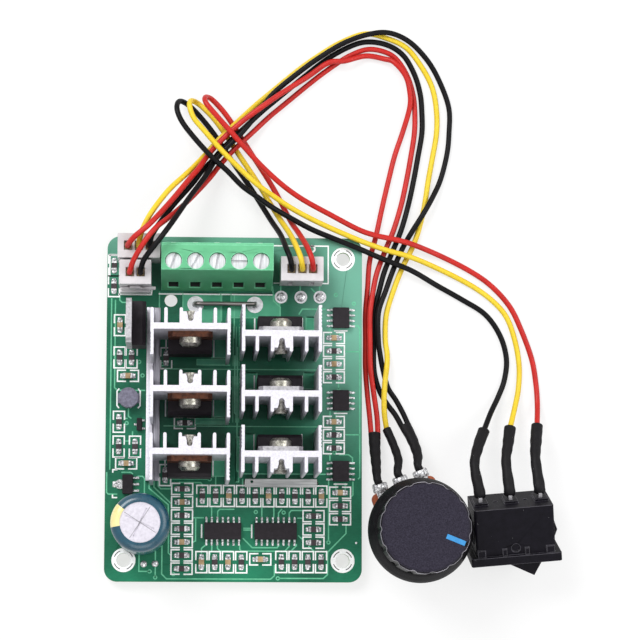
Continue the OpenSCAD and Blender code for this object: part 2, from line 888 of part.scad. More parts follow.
module round_rect(width, depth, r) {
    translate([r, 0])
        square([width - 2 * r, depth]);
    translate([0, r])
        square([width, depth - 2 * r]);
    for (x = [r, width - r], y = [r, depth - r])
        translate([x, y])
            circle(r = r);
}

module circuit_board() {
    color(green)
        linear_extrude(board_thickness)
            difference() {
                translate([-edge_x, -edge_y])
                    round_rect(board_width, board_depth, board_corner);
                for (at = mount_holes)
                    translate(at)
                        circle(d = hole_d);
                translate(plain_hole)
                    circle(d = plain_hole_d);
                for (hole = lead_holes)
                    translate([hole[0], hole[1]])
                        circle(d = hole[2], $fn = 24);
            }
}

// Potentiometer with its knob
pot_at = [68.3, 6.8];
lug_angle = 109;
pot_r = 8.3;
cover_h = 6.2;
cover_inset = 0.6;
cover_edge = 0.4;
board_h = 1.4;
plate_h = 1.5;
bush_d = 7;
bush_h = 6;
lug_pitch = 5;
lug_w = 2.6;
lug_neck = 0.4;
lug_root = 8.8;
lug_eye_in = 1.4;
lug_land = 3;
lug_t = 0.5;
lug_reach = 13.4;
pot_half = 7.8;
cover_z = floor_z + cover_h;
plate_z = cover_z + board_h;
bush_z = plate_z + plate_h;
knob_gap = 4.4;
knob_z = bush_z + knob_gap;
knob_top = knob_z + knob_height;
shaft_length = 15;
shaft_top = bush_z + shaft_length;

module pot_place() {
    translate([pot_at.x, pot_at.y, 0])
        rotate([0, 0, lug_angle - 90])
            children();
}

module pot_cover() {
    lip = 0.4;
    color(steel)
        pot_place()
            translate([0, 0, floor_z])
                rotate_extrude()
                    polygon([[0, 0], [pot_r - cover_inset - cover_edge, 0], [pot_r - cover_inset, cover_edge],
                        [pot_r - cover_inset, cover_h - lip],
                        [pot_r, cover_h - lip], [pot_r, cover_h], [0, cover_h]]);
}

module pot_board() {
    reach = 11.4;
    corner = 1.4;
    color(brown)
        pot_place()
            translate([0, 0, cover_z])
                linear_extrude(board_h)
                    union() {
                        circle(r = pot_r);
                        translate([-pot_half, 0])
                            square([2 * pot_half, reach - corner]);
                        translate([-pot_half + corner, 0])
                            square([2 * (pot_half - corner), reach]);
                        for (side = [-1, 1])
                            translate([side * (pot_half - corner), reach - corner])
                                circle(r = corner);
                    }
}

module pot_lugs() {
    eye_d = 1.1;
    color(tin)
        pot_place()
            for (k = [-1:1])
                translate([k * lug_pitch, 0, plate_z])
                    linear_extrude(lug_t)
                        difference() {
                            union() {
                                translate([-lug_w / 2, lug_root])
                                    square([lug_w, lug_land]);
                                translate([-lug_w / 2 + lug_neck, lug_root])
                                    square([lug_w - 2 * lug_neck, lug_reach - lug_root]);
                            }
                            translate([0, lug_root + lug_eye_in])
                                circle(d = eye_d, $fn = 24);
                        }
}

module pot_bush() {
    plate_stop = 0.8;
    color(steel)
        pot_place()
            difference() {
                union() {
                    translate([0, 0, plate_z])
                        intersection() {
                            cylinder(h = plate_h, r = pot_r);
                            translate([-pot_r, -pot_r, 0])
                                cube([2 * pot_r, pot_r + lug_root - plate_stop, plate_h]);
                        }
                    translate([0, 0, bush_z])
                        cylinder(h = bush_h, d = bush_d);
                }
                translate([0, 0, plate_z - overrun])
                    cylinder(h = plate_h + bush_h + 2 * overrun, d = shaft_d + 2 * seat_gap);
            }
}

module pot_shaft() {
    color(aluminium)
        translate([pot_at.x, pot_at.y, plate_z + slip_gap])
            cylinder(h = shaft_top - plate_z - slip_gap, d = shaft_d);
}

skirt_rim = 1.3;
skirt_h = 4;
cap_edge = 0.8;
flutes = 15;
flute_r = 1;
flute_depth = 0.35;
flute_rise = 0.4;
socket_wall = 1.5;
socket_over = 1;
cap_foot = 0.1;
pointer_w = 1.1;
pointer_in = 5;
pointer_deep = 0.6;
pointer_proud = 0.1;

module knob() {
    socket_d = bush_d + 2 * socket_wall;
    socket_h = bush_z + bush_h + socket_over - knob_z;
    color(knob_grey)
        translate([pot_at.x, pot_at.y, knob_z])
            difference() {
                rotate_extrude($fn = 96)
                    polygon([[0, 0], [skirt_d / 2, 0], [skirt_d / 2, skirt_rim],
                        [cap_d / 2 + cap_foot, skirt_h], [cap_d / 2, skirt_h],
                        [cap_d / 2, knob_height - cap_edge],
                        [cap_d / 2 - cap_edge, knob_height], [0, knob_height]]);
                for (k = [0:flutes - 1])
                    rotate([0, 0, pointer_angle + 360 * (k + 0.5) / flutes])
                        translate([cap_d / 2 + flute_r - flute_depth, 0, skirt_h + flute_rise])
                            cylinder(h = knob_height, r = flute_r, $fn = 24);
                translate([0, 0, -overrun])
                    cylinder(h = socket_h + overrun, d = socket_d);
                translate([0, 0, socket_h - overrun])
                    cylinder(h = shaft_top - knob_z - socket_h + overrun, d = shaft_d);
                rotate([0, 0, pointer_angle])
                    translate([pointer_in, -pointer_w / 2, knob_height - pointer_deep])
                        cube([cap_d, pointer_w, pointer_deep + overrun]);
            }
}

module knob_pointer() {
    color(blue)
        translate([pot_at.x, pot_at.y, knob_top - pointer_deep])
            rotate([0, 0, pointer_angle])
                translate([pointer_in, -pointer_w / 2, 0])
                    cube([cap_d / 2 - cap_edge - pointer_in, pointer_w, pointer_deep + pointer_proud]);
}

// Rocker switch, drawn with X along its length, Y from the rocker to the terminals and Z across
switch_turn = 5;
switch_pitch = 19;
flange_t = 2;
terminal_pitch = 7;
terminal_t = 0.8;
terminal_w = 2.6;
terminal_stub = 1;
terminal_side = 0.4;
housing_wall = 1.4;
opening_length = 2 * (terminal_pitch + terminal_t / 2 + terminal_side);
body_length = opening_length + 2 * housing_wall;
flange_lip = 1.05;
body_width = flange_width - 2 * flange_lip;
flange_low = -flange_width / 2 * cos(switch_pitch) - flange_t * sin(switch_pitch);
switch_at = [90.3, 3.4, floor_z - flange_low];
opening_width = 10.7;
cavity_depth = 8.2;
pivot_y = 2;
pivot_d = 2;
pivot_reach = 0.9;
rocker_side = 0.25;
rocker_width = opening_width - 2 * rocker_side;
rocker_reach = 4.9;
rocker_corner = [6, 6.4];
rocker_root = [7.2, 2.2];
rocker_foot = [6.5, -0.8];
post_w = 1.2;
post_h = 4.1;
pad_y = 7.4;
pad_t = 0.4;
pad_in = 2.5;
pad_out = 0.5;
frame_h = 0.5;
blade_length = 11;
blade_w = 4;
blade_t = 0.4;
blade_y = 6.4;
blade_tip = 7;
blade_rest = 0.15;

module switch_place() {
    translate(switch_at)
        rotate([switch_pitch, 0, switch_turn])
            children();
}

module switch_box(length, depth, width) {
    edge = 0.6;
    rotate([-90, 0, 0])
        linear_extrude(depth)
            translate([-length / 2, -width / 2])
                round_rect(length, width, edge);
}

module switch_housing() {
    dimple_d = 2;
    dimple_y = 1.6;
    rib_w = 0.9;
    rib_h = 0.45;
    rib_y = 1.6;
    rib_x = 2.6;
    end_rib_in = 1.2;
    clip_h = 1.1;
    clip_root = 0.2;
    clip_from = 1.2;
    clip_peak = 4.2;
    clip_to = 8.6;
    clip_w = 6;
    frame_length = 3.2;
    frame_width = 5.2;
    pip_d = 0.9;
    side_z = body_width / 2;
    color(black)
        switch_place()
            difference() {
                union() {
                    translate([0, -flange_t, 0])
                        switch_box(flange_length, flange_t, flange_width);
                    switch_box(body_length, body_depth, body_width);
                    for (side = [-1, 1])
                        translate([0, 0, -clip_w / 2])
                            linear_extrude(clip_w)
                                polygon([[side * (body_length / 2 - clip_root), clip_from],
                                    [side * (body_length / 2 + clip_h), clip_peak],
                                    [side * (body_length / 2 - clip_root), clip_to]]);
                    for (x = [-1, 1], z = [-1, 1]) {
                        translate([x * rib_x - rib_w / 2, 0, z * side_z - rib_h])
                            cube([rib_w, rib_y, 2 * rib_h]);
                        translate([x * (body_length / 2 - end_rib_in) - rib_w, 0, z * side_z - rib_h])
                            cube([2 * rib_w, rib_y, 2 * rib_h]);
                    }
                    for (k = [-1:1])
                        translate([k * terminal_pitch - frame_length / 2, body_depth, -frame_width / 2])
                            cube([frame_length, frame_h, frame_width]);
                }
                translate([-opening_length / 2, -flange_t - overrun, -opening_width / 2])
                    cube([opening_length, flange_t + cavity_depth + overrun, opening_width]);
                translate([0, pivot_y, -opening_width / 2 - pivot_reach - slip_gap])
                    cylinder(h = opening_width + 2 * (pivot_reach + slip_gap), d = pivot_d + 2 * seat_gap);
                for (k = [-1:1])
                    translate([k * terminal_pitch - terminal_t / 2 - seat_gap, cavity_depth - overrun,
                        -terminal_w / 2 - seat_gap])
                        cube([terminal_t + 2 * seat_gap, body_depth + frame_h, terminal_w + 2 * seat_gap]);
                for (z = [-1, 1])
                    translate([0, dimple_y, z * side_z])
                        cylinder(h = 2 * rib_h, d = dimple_d, center = true, $fn = 24);
                for (x = [-1, 1])
                    translate([x * terminal_pitch / 2, body_depth + overrun, 0])
                        rotate([90, 0, 0])
                            cylinder(h = overrun + rib_h, d = pip_d, $fn = 24);
            }
}

function half_rocker() = [rocker_corner, rocker_root, rocker_foot, [post_w, rocker_foot.y]];

module rocker_profile() {
    right = [for (p = half_rocker()) [p[0], -p[1]]];
    left = [for (i = [3:-1:0]) [-right[i][0], right[i][1]]];
    polygon(concat([[0, -rocker_reach]], right, left));
    translate([-post_w / 2, 0])
        square([post_w, post_h - post_w / 2]);
    translate([0, post_h - post_w / 2])
        circle(d = post_w, $fn = 24);
}

module switch_rocker() {
    reach = opening_width / 2 + pivot_reach;
    color(black)
        switch_place()
            translate([0, pivot_y, 0])
                rotate([0, 0, -rocker_tip]) {
                    translate([0, 0, -rocker_width / 2])
                        linear_extrude(rocker_width)
                            rocker_profile();
                    translate([0, 0, -reach])
                        cylinder(h = 2 * reach, d = pivot_d);
                }
}

module switch_contact() {
    color(brass)
        switch_place()
            translate([0, blade_y, 0])
                rotate([0, 0, blade_tip])
                    translate([-blade_length / 2, -blade_t / 2, -blade_w / 2])
                        cube([blade_length, blade_t, blade_w]);
}

module switch_terminals() {
    color(tin)
        switch_place() {
            for (k = [-1, 1]) {
                translate([k * terminal_pitch - terminal_t / 2, pad_y, -terminal_w / 2])
                    cube([terminal_t, stub_end - pad_y, terminal_w]);
                translate([k * terminal_pitch - (k > 0 ? pad_in : pad_out), pad_y, -terminal_w / 2])
                    cube([pad_in + pad_out, pad_t, terminal_w]);
            }
            translate([-terminal_t / 2, blade_y + blade_t / 2 + blade_rest, -terminal_w / 2])
                cube([terminal_t, stub_end - blade_y - blade_t / 2 - blade_rest, terminal_w]);
        }
}

// Wires and heat-shrink sleeves. A route lists points [x, y, height above lying on the table], and a
// sleeve's list adds its radius there. Each wire starts at its contact and ends at its sleeve.
lay_z = floor_z + wire_d / 2 + slip_gap;
contact_z = top_z + shell_height + collar_height - recess_h;
plug_rise = 2.8;
tube_sides = 8;
tube_steps = 2;
lug_end_r = 0.95;
stub_end_r = 1.45;
pair_r = 1.4;
single_r = 1.05;

pot_yellow_route = [
    [3.5, 75, 15], [5.5, 79.5, 14], [9.5, 85.5, 11], [13.5, 90, 7.2], [16, 93, 3.8], [18.5, 96, 2.1],
    [21, 99, 1.7], [24, 102, 1.8], [27, 105, 1.2], [30.5, 108.5, 0], [34, 111.5, 0], [40.5, 117, 0],
    [46, 121, 0], [51, 124, 0], [56.5, 126, 0], [61.5, 125, 0], [66.3, 122.7, 0], [70, 118, 0],
    [72.5, 113, 0], [73.5, 107.5, 0], [73.5, 102, 0], [72.5, 96, 0], [71.5, 90.5, 0], [70.5, 84, 0],
    [69, 78, 0], [67.5, 74, 0], [65.5, 70, 0], [63.5, 65, 0], [61.5, 58.5, 0], [61.2, 52.5, 0],
    [61.6, 49, 0.5], [61.5, 46, 1.5], [61, 42, 1.7], [60.8, 38, 1.7], [60.9, 34.5, 1.5], [61.5, 31, 0.6]];
pot_red_1_route = [
    [2, 74, 16.2], [5.5, 77, 16.5], [10, 82.5, 13], [14.5, 88.8, 8.4], [16.8, 92, 5.7], [19, 95.5, 3.7],
    [21.5, 98.5, 3.2], [24.5, 101.5, 3.2], [28, 104.5, 3.4], [32, 107.5, 3.6], [36, 110.5, 2.9],
    [42.5, 115, 1.5], [47.5, 118.5, 1.5], [51.5, 119, 1.6], [56.5, 120.5, 0.5], [61, 119.8, 0.6],
    [63.3, 118.8, 1.5], [66, 115.5, 1.6], [67, 111.5, 1.5], [67, 108, 1], [65.5, 102.5, 0],
    [63.5, 96.5, 0], [62, 90.5, 0], [60.5, 84, 0], [59, 77, 0], [57.5, 71, 0], [57, 64.5, 0],
    [56.5, 58.5, 0], [56.5, 52, 0], [56.5, 45.5, 0], [57, 39, 0], [57.5, 34, 0.2], [57.8, 30, 0.75]];
pot_black_1_route = [
    [6, 74.5, 15], [8, 78, 13.5], [11, 82.5, 10.5], [15.2, 88, 6.5], [17.5, 91.5, 3.8], [20, 94.5, 2.1],
    [22.5, 97.5, 1.7], [25.5, 100.5, 1.8], [28.5, 103.5, 1], [32, 107, 0], [35.5, 110, 0], [42, 115.5, 0],
    [47, 119.5, 0], [52, 122.5, 0], [56.5, 124, 0], [61.5, 123.4, 0], [65.5, 120.9, 0], [68.2, 116.3, 0],
    [69.6, 111.5, 0], [70, 107, 0], [70, 102, 0], [69, 96, 0], [68, 90.5, 0], [66.7, 84.5, 0],
    [65, 78.5, 0], [63, 73.5, 0], [61, 68.5, 0], [59.8, 64, 0], [58.5, 58.5, 0], [58.5, 52, 0],
    [58.5, 45.5, 0], [59.5, 41, 0], [61.3, 37.5, 0], [63.5, 34.5, 0.4], [65.1, 31.6, 0.75]];
pot_black_2_route = [
    [4.4, 68.9, 16.4], [8, 73.5, 18], [11, 78, 16], [14.5, 84, 10.8], [18.3, 90, 5.8], [20.5, 94, 3.6],
    [23, 97, 3.2], [26, 100, 3.2], [28.5, 103, 2.8], [31.5, 107, 1.7], [34.5, 111, 1.5], [41, 116.5, 1.5],
    [46.5, 120.5, 1.5], [51.5, 123.5, 1.5], [57, 125.5, 1.7], [62, 126, 1.5], [67, 124, 0.8],
    [71.5, 119.5, 0], [74.5, 114, 0], [76.5, 108, 0], [76.5, 102, 0], [76, 97, 0], [74.5, 91, 0],
    [72.5, 86.5, 1], [70, 82, 1.7], [67.5, 78, 1], [65.5, 74.5, 0], [63.3, 69.5, 0.1], [61.3, 64, 0.8],
    [59.5, 58.5, 1.4], [59.5, 52, 1.3], [59.9, 49, 0.7], [60.6, 45.5, 0], [61.8, 41, 0], [63.7, 38, 0],
    [65.3, 35, 0.4], [66.4, 32.5, 0.75]];
pot_red_2_route = [
    [2, 69, 15.5], [4.5, 73, 17], [7, 76.2, 16.4], [10, 79, 13.8], [14.5, 84, 7.8], [19, 89.5, 3.9],
    [21.5, 93, 2.1], [24, 96, 1.7], [27, 99, 1.7], [30, 102, 0.9], [33.5, 105.5, 0], [37, 108.5, 0],
    [43.5, 114, 0], [48, 117.5, 0], [52.5, 120.5, 0], [57, 122.2, 0], [61.2, 121.6, 0], [64.1, 119.7, 0],
    [66.6, 115.6, 0], [67.9, 111.2, 0], [68.3, 107, 0], [68.2, 102, 0], [67.3, 96, 0], [66.3, 90.5, 0],
    [65, 84.5, 0], [63.2, 78.5, 0], [61.3, 73.8, 0], [59.3, 68.5, 0.2], [58.3, 64, 0.8],
    [57.5, 58.5, 1.4], [57.5, 52, 1.4], [57.6, 45.5, 1.4], [58.4, 39.5, 1], [59.2, 34, 0.7],
    [59.4, 30, 0.75]];
switch_black_route = [
    [38, 69.5, 15], [37, 72.5, 13], [36, 76, 8], [34, 80, 3], [31.5, 84.5, 0.5], [29, 88.5, 0],
    [24.5, 95, 0], [20.5, 101, 0], [17.5, 104.8, 0], [14.5, 107.8, 0.6], [12.2, 108.5, 2.8],
    [11.5, 106.5, 4.9], [12.5, 103.5, 5.5], [15, 100, 5.7], [19.5, 95, 5.6], [23.5, 91.5, 5],
    [27, 88, 4.7], [30.5, 85.5, 4.7], [34, 83, 5], [39, 80, 5.7], [43.5, 77.8, 4.7], [48, 76, 4.4],
    [54.5, 73.5, 4.1], [58.5, 72, 2.8], [62, 70.7, 2.1], [67.5, 68.5, 1.9], [73.5, 65.3, 0.3],
    [79.5, 62, 0], [85, 58.5, 0], [88.5, 53.5, 0], [90, 48, 0], [89.5, 43, 0], [88, 39, 0.5], [86, 35, 2],
    [84, 30.5, 5]];
switch_yellow_route = [
    [40.5, 69.5, 15], [39.5, 72.5, 13], [38.3, 76, 8], [36, 80.5, 3], [33.5, 85, 0.5], [31, 89.3, 0],
    [26.5, 96, 0], [22.5, 102, 0], [19.8, 105.5, 0], [17, 108, 0.8], [15, 108.6, 3], [14.5, 107, 5],
    [15.5, 104, 5.5], [18, 101, 5.5], [22, 96.5, 5.2], [26.8, 91.8, 4.7], [30.5, 88.5, 4.4],
    [34, 86, 4.3], [38, 83.3, 4.3], [42.5, 80.8, 4.3], [48, 78.2, 4.3], [54.5, 75.5, 4.1],
    [58.5, 74.2, 2.9], [62, 73.2, 2.2], [67.5, 71.7, 1.9], [74.5, 69, 0.3], [81.5, 65.5, 0],
    [86.5, 62, 0], [90, 58, 0], [92, 52.5, 0], [93, 46.5, 0], [92.8, 41, 0.2], [91.8, 36.5, 1.5],
    [90.2, 31.2, 4.8]];
switch_red_route = [
    [43, 69.5, 15], [42, 72.5, 13], [40.6, 76, 7.6], [38.6, 80, 2.6], [36, 85.5, 0.5], [33.5, 90, 0],
    [29, 97, 0], [24.5, 104, 0], [22, 107.3, 0.2], [19.6, 109.4, 1.5], [18.2, 109.3, 3.7],
    [18.5, 107.5, 5.3], [21, 104.5, 5.4], [24, 101.2, 5], [27.5, 97.3, 4.6], [31.5, 93, 4.2],
    [36.5, 88.5, 3.9], [41.5, 85, 3.7], [48, 81.5, 3.5], [54.5, 78.2, 3], [58.5, 76.9, 2.5],
    [62, 76.2, 2.3], [67, 75, 2.3], [74.5, 72.3, 0.3], [81.5, 68.8, 0], [86.5, 65.3, 0], [90.8, 60.5, 0],
    [93.5, 55, 0], [96, 48, 0], [97, 42, 0], [97.2, 37, 0.8], [96.6, 31.8, 4.6]];
pot_sleeves = [
    [[58.9, 22.5, 5.2, 1.1], [58.4, 26.3, 2.4, 1.25], [58.6, 30, 0.75, pair_r]],
    [[64.4, 24.5, 4.8, 1], [63.1, 28, 2.2, 1], [61.5, 31, 0.6, single_r]],
    [[69, 25.6, 5, 1.1], [67.9, 28.9, 2.4, 1.25], [65.8, 32, 0.75, pair_r]]];
switch_sleeves = [
    [[81.2, 22, 10.4, 1.1], [82.3, 26.5, 8, 1.05], [84, 30.5, 5, single_r]],
    [[88.6, 23, 10, 1.1], [89.4, 27.3, 7.4, 1.05], [90.2, 31.2, 4.8, single_r]],
    [[95.5, 23.6, 9.8, 1.1], [96, 28, 7.1, 1.05], [96.6, 31.8, 4.6, single_r]]];

function unit(v) = v / norm(v);
function place_of(q) = [q[0], q[1], q[2]];
function lifted(route) = [for (q = route) [q[0], q[1], q[2] + lay_z, len(q) > 3 ? q[3] : wire_d / 2]];
function plug_start(c, k) = [for (rise = [0, plug_rise])
    [c[0].x + contact_x(c[1], k), c[0].y, contact_z + rise, wire_d / 2]];
function wire_route(c, k, route) = concat(plug_start(c, k), lifted(route));

function lug_point(k, out) = let (p = spun(pot_at, [k * lug_pitch, lug_reach + out], lug_angle - 90))
    [p[0], p[1], plate_z + lug_t / 2, lug_end_r];
stub_end = body_depth + frame_h + terminal_stub;
function stub_point(k, out) =
    let (reach = stub_end + out,
        p = spun(switch_at, [k * terminal_pitch, reach * cos(switch_pitch)], switch_turn))
        [p[0], p[1], switch_at.z + reach * sin(switch_pitch), stub_end_r];

// Smooth curve through a route's points, with its radius as the fourth number
function between(a, b, c, d, t) = 0.5 * (2 * b + (c - a) * t + (2 * a - 5 * b + 4 * c - d) * t * t
    + (3 * b - a - 3 * c + d) * t * t * t);
function spline(p) = let (last = len(p) - 1) concat(
    [for (i = [0:last - 1], k = [0:tube_steps - 1])
        between(i > 0 ? p[i - 1] : 2 * p[0] - p[1], p[i], p[i + 1],
            i + 2 <= last ? p[i + 2] : 2 * p[last] - p[last - 1], k / tube_steps)],
    [p[last]]);
function headings(c) = [for (i = [0:len(c) - 1])
    unit(place_of(c[min(i + 1, len(c) - 1)]) - place_of(c[max(i - 1, 0)]))];
function first_side(t) = unit(cross(t, abs(t.z) < 0.9 ? [0, 0, 1] : [1, 0, 0]));
function side_vectors(t) = [for (i = 0, s = first_side(t[0]); i < len(t);
    i = i + 1, s = i < len(t) ? unit(s - (s * t[i]) * t[i]) : s) s];

module tube(points) {
    c = spline(points);
    t = headings(c);
    s = side_vectors(t);
    n = tube_sides;
    rings = len(c);
    corners = [for (i = [0:rings - 1], k = [0:n - 1])
        place_of(c[i]) + c[i][3] * (cos(360 * k / n) * s[i] + sin(360 * k / n) * cross(t[i], s[i]))];
    walls = [for (i = [0:rings - 2], k = [0:n - 1], half = [0, 1])
        let (a = i * n + k, b = i * n + (k + 1) % n) half == 0 ? [a, a + n, b + n] : [a, b + n, b]];
    ends = [[for (k = [0:n - 1]) k], [for (k = [n - 1:-1:0]) (rings - 1) * n + k]];
    polyhedron(points = corners, faces = concat(ends, walls));
}

module heat_shrink_sleeves() {
    color(black) {
        for (k = [0:2])
            tube(concat([lug_point(k - 1, 0), lug_point(k - 1, wire_d)], lifted(pot_sleeves[k])));
        for (k = [0:2])
            tube(concat([stub_point(k - 1, 0), stub_point(k - 1, wire_d)], lifted(switch_sleeves[k])));
    }
}

module wire(c, k, route, shade) {
    color(shade)
        tube(wire_route(c, k, route));
}

circuit_board();
smd_resistors();
smd_capacitors();
smd_ends();
chip_bodies();
chip_leads();
choke();
jumper_wire();
current_strip();
terminal_block_housing();
terminal_screw(0);  // terminal_screw_1
terminal_screw(1);  // terminal_screw_2
terminal_screw(2);  // terminal_screw_3
terminal_screw(3);  // terminal_screw_4
terminal_screw(4);  // terminal_screw_5
wire_clamp(0);  // wire_clamp_1
wire_clamp(1);  // wire_clamp_2
wire_clamp(2);  // wire_clamp_3
wire_clamp(3);  // wire_clamp_4
wire_clamp(4);  // wire_clamp_5
terminal_pins();
heatsink(0);  // heatsink_1
heatsink(1);  // heatsink_2
heatsink(2);  // heatsink_3
heatsink(3);  // heatsink_4
heatsink(4);  // heatsink_5
heatsink(5);  // heatsink_6
power_bodies();
power_frames();
heatsink_screws();
capacitor_can();
capacitor_sleeve();
header_shell(connectors[0]);  // header_pot_sense
header_shell(connectors[1]);  // header_pot_supply
header_shell(connectors[2]);  // header_switch
plug_shell(connectors[0]);  // plug_pot_sense
plug_shell(connectors[1]);  // plug_pot_supply
plug_shell(connectors[2]);  // plug_switch
header_pins();
crimp_contacts();
pot_cover();
pot_board();
pot_lugs();
pot_bush();
pot_shaft();
knob();
knob_pointer();
switch_housing();
switch_rocker();
switch_terminals();
switch_contact();
heat_shrink_sleeves();
wire(connectors[0], 0, pot_red_1_route, wire_red);  // pot_wire_red_1
wire(connectors[1], 0, pot_red_2_route, wire_red);  // pot_wire_red_2
wire(connectors[0], 1, pot_yellow_route, wire_yellow);  // pot_wire_yellow
wire(connectors[0], 2, pot_black_1_route, black);  // pot_wire_black_1
wire(connectors[1], 1, pot_black_2_route, black);  // pot_wire_black_2
wire(connectors[2], 0, switch_black_route, black);  // switch_wire_black
wire(connectors[2], 1, switch_yellow_route, wire_yellow);  // switch_wire_yellow
wire(connectors[2], 2, switch_red_route, wire_red);  // switch_wire_red
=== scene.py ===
# %% [markdown]
# # A motor controller board, with its knob and its switch
# The real object is a green circuit board of 60 by 81 mm with six finned heatsinks, a screw terminal
# block, a capacitor, three plugs, and eight thin wires that run out to a speed knob and a rocker switch.
# The solids and their sizes are already made, in millimetres, and they arrive here as a fixed frame. This
# lesson gives every part its finish, and adds what is too thin or too soft for the solids: ink, tracks,
# pads, solder, rounded edges, wires and heat-shrink sleeves.

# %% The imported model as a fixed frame
import json
import math
import bpy
import bmesh
from mathutils import Matrix, Vector


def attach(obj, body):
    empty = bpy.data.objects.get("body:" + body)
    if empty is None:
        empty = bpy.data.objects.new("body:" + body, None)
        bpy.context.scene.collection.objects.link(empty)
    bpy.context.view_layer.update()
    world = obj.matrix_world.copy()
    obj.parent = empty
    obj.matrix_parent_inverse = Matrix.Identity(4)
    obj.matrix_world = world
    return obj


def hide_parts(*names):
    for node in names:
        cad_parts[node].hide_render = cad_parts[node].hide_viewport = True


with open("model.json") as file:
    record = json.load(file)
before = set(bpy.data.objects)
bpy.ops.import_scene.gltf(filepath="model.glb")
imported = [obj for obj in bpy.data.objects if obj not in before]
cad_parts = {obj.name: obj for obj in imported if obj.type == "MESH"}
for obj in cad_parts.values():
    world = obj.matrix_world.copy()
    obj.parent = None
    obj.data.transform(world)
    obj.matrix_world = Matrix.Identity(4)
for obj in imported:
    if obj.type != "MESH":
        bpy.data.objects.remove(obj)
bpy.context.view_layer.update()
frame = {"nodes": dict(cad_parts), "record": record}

MM = 0.001
scene = bpy.context.scene
slot_of = {part["node"]: part["material_slot"] for part in frame["record"]["subparts"]}

# %% [markdown]
# ## The camera
# The picture was taken from far above with a long lens: the board's sides hardly show, and the tops of the
# heatsinks lean a little to the right. So the camera stands 647 mm up, over the board's lower left corner,
# and looks slightly towards the middle of the picture. A long lens keeps that faint perspective.

# %% Camera
CAMERA_AT = Vector((12.0, -18.6, 647.0)) * MM
CAMERA_AIM = Vector((45.590, 56.541, 1.6)) * MM
CAMERA_ROLL = math.radians(0.1453)
LENS, SENSOR = 155.38, 36.0
camera = bpy.data.objects.new("camera", bpy.data.cameras.new("camera"))
scene.collection.objects.link(camera)
scene.camera = camera
camera.data.lens, camera.data.sensor_width = LENS, SENSOR
camera.data.clip_start, camera.data.clip_end = 0.05, 5.0
back = (CAMERA_AT - CAMERA_AIM).normalized()
side = Vector((0, 1, 0)).cross(back).normalized()
up = back.cross(side)
turned_side = side * math.cos(CAMERA_ROLL) + up * math.sin(CAMERA_ROLL)
turned_up = up * math.cos(CAMERA_ROLL) - side * math.sin(CAMERA_ROLL)
heading = Matrix((turned_side, turned_up, back)).transposed().to_4x4()
camera.matrix_world = Matrix.Translation(CAMERA_AT) @ heading
print("camera lens", camera.data.lens, "mm, height", round(CAMERA_AT.z, 3), "m")

# %% [markdown]
# ## The table and the light
# The set lies on a plain white table. A white table under plain light would come out grey, and more light
# would bleach the parts, so the table's own material adds white for rays that come straight from the
# camera or off a shiny part. The rest of its look still comes from the light, so the soft shadows stay.

# %% Functions for laying out shader nodes
def feed(tree, value, socket):
    """Links a socket to another one, or sets it to a plain value."""
    if isinstance(value, bpy.types.NodeSocket):
        tree.links.new(value, socket)
    else:
        socket.default_value = value


def put(tree, kind, links=(), **values):
    """Adds a node, sets its attributes or input values, and links (output, input name) pairs."""
    node = tree.nodes.new(kind)
    for key, value in values.items():
        if hasattr(node, key):
            setattr(node, key, value)
        else:
            node.inputs[key.replace("_", " ")].default_value = value
    for source, name in links:
        tree.links.new(source, node.inputs[name])
    return node


def calc(tree, operation, *values, clamp=False):
    """A math node over sockets and plain numbers."""
    node = put(tree, "ShaderNodeMath", operation=operation, use_clamp=clamp)
    for value, socket in zip(values, node.inputs):
        feed(tree, value, socket)
    return node.outputs[0]


def seen_directly(tree):
    """1 where a ray comes from the camera, off a glossy part or through a clear one."""
    path = tree.nodes.new("ShaderNodeLightPath").outputs
    shiny = calc(tree, "ADD", path["Is Camera Ray"], path["Is Glossy Ray"], clamp=True)
    return calc(tree, "ADD", shiny, path["Is Transmission Ray"], clamp=True)


def end_with(tree, output, mask, first, second):
    """Ends a tree with two shaders mixed by a mask."""
    mix = put(tree, "ShaderNodeMixShader", [(mask, 0), (first.outputs[0], 1), (second.outputs[0], 2)])
    put(tree, output, [(mix.outputs[0], "Surface")])


print("node functions ready")

# %% The white table
TABLE_AT, TABLE_HALF = (0.045, 0.06, -2.02 * MM), 3.0
WHITE_SHARE, PAPER, WHITE = 0.7, (0.9, 0.9, 0.9, 1), (1, 1, 1, 1)
table_mesh = bmesh.new()
bmesh.ops.create_grid(table_mesh, x_segments=2, y_segments=2, size=TABLE_HALF,
                      matrix=Matrix.Translation(TABLE_AT))
table = bpy.data.objects.new("table", bpy.data.meshes.new("table"))
table_mesh.to_mesh(table.data)
table_mesh.free()
scene.collection.objects.link(table)

paper = bpy.data.materials.new("table_white")
paper.use_nodes = True
tree = paper.node_tree
tree.nodes.clear()
lit = put(tree, "ShaderNodeBsdfDiffuse", Color=PAPER)
glow = put(tree, "ShaderNodeEmission", Color=WHITE)
share = calc(tree, "MULTIPLY", seen_directly(tree), WHITE_SHARE)
end_with(tree, "ShaderNodeOutputMaterial", share, lit, glow)
table.data.materials.append(paper)
print("table half width", TABLE_HALF, "m")

# %% World and lamps
WORLD_LIGHT, WORLD_SHOWN = 0.42, 1.0
scene.world = bpy.data.worlds.new("studio")
scene.world.use_nodes = True
tree = scene.world.node_tree
tree.nodes.clear()
plain = put(tree, "ShaderNodeBackground", Color=WHITE, Strength=WORLD_LIGHT)
shown = put(tree, "ShaderNodeBackground", Color=WHITE, Strength=WORLD_SHOWN)
end_with(tree, "ShaderNodeOutputWorld", seen_directly(tree), plain, shown)

MIDDLE = Vector((0.045, 0.055, 0.0))
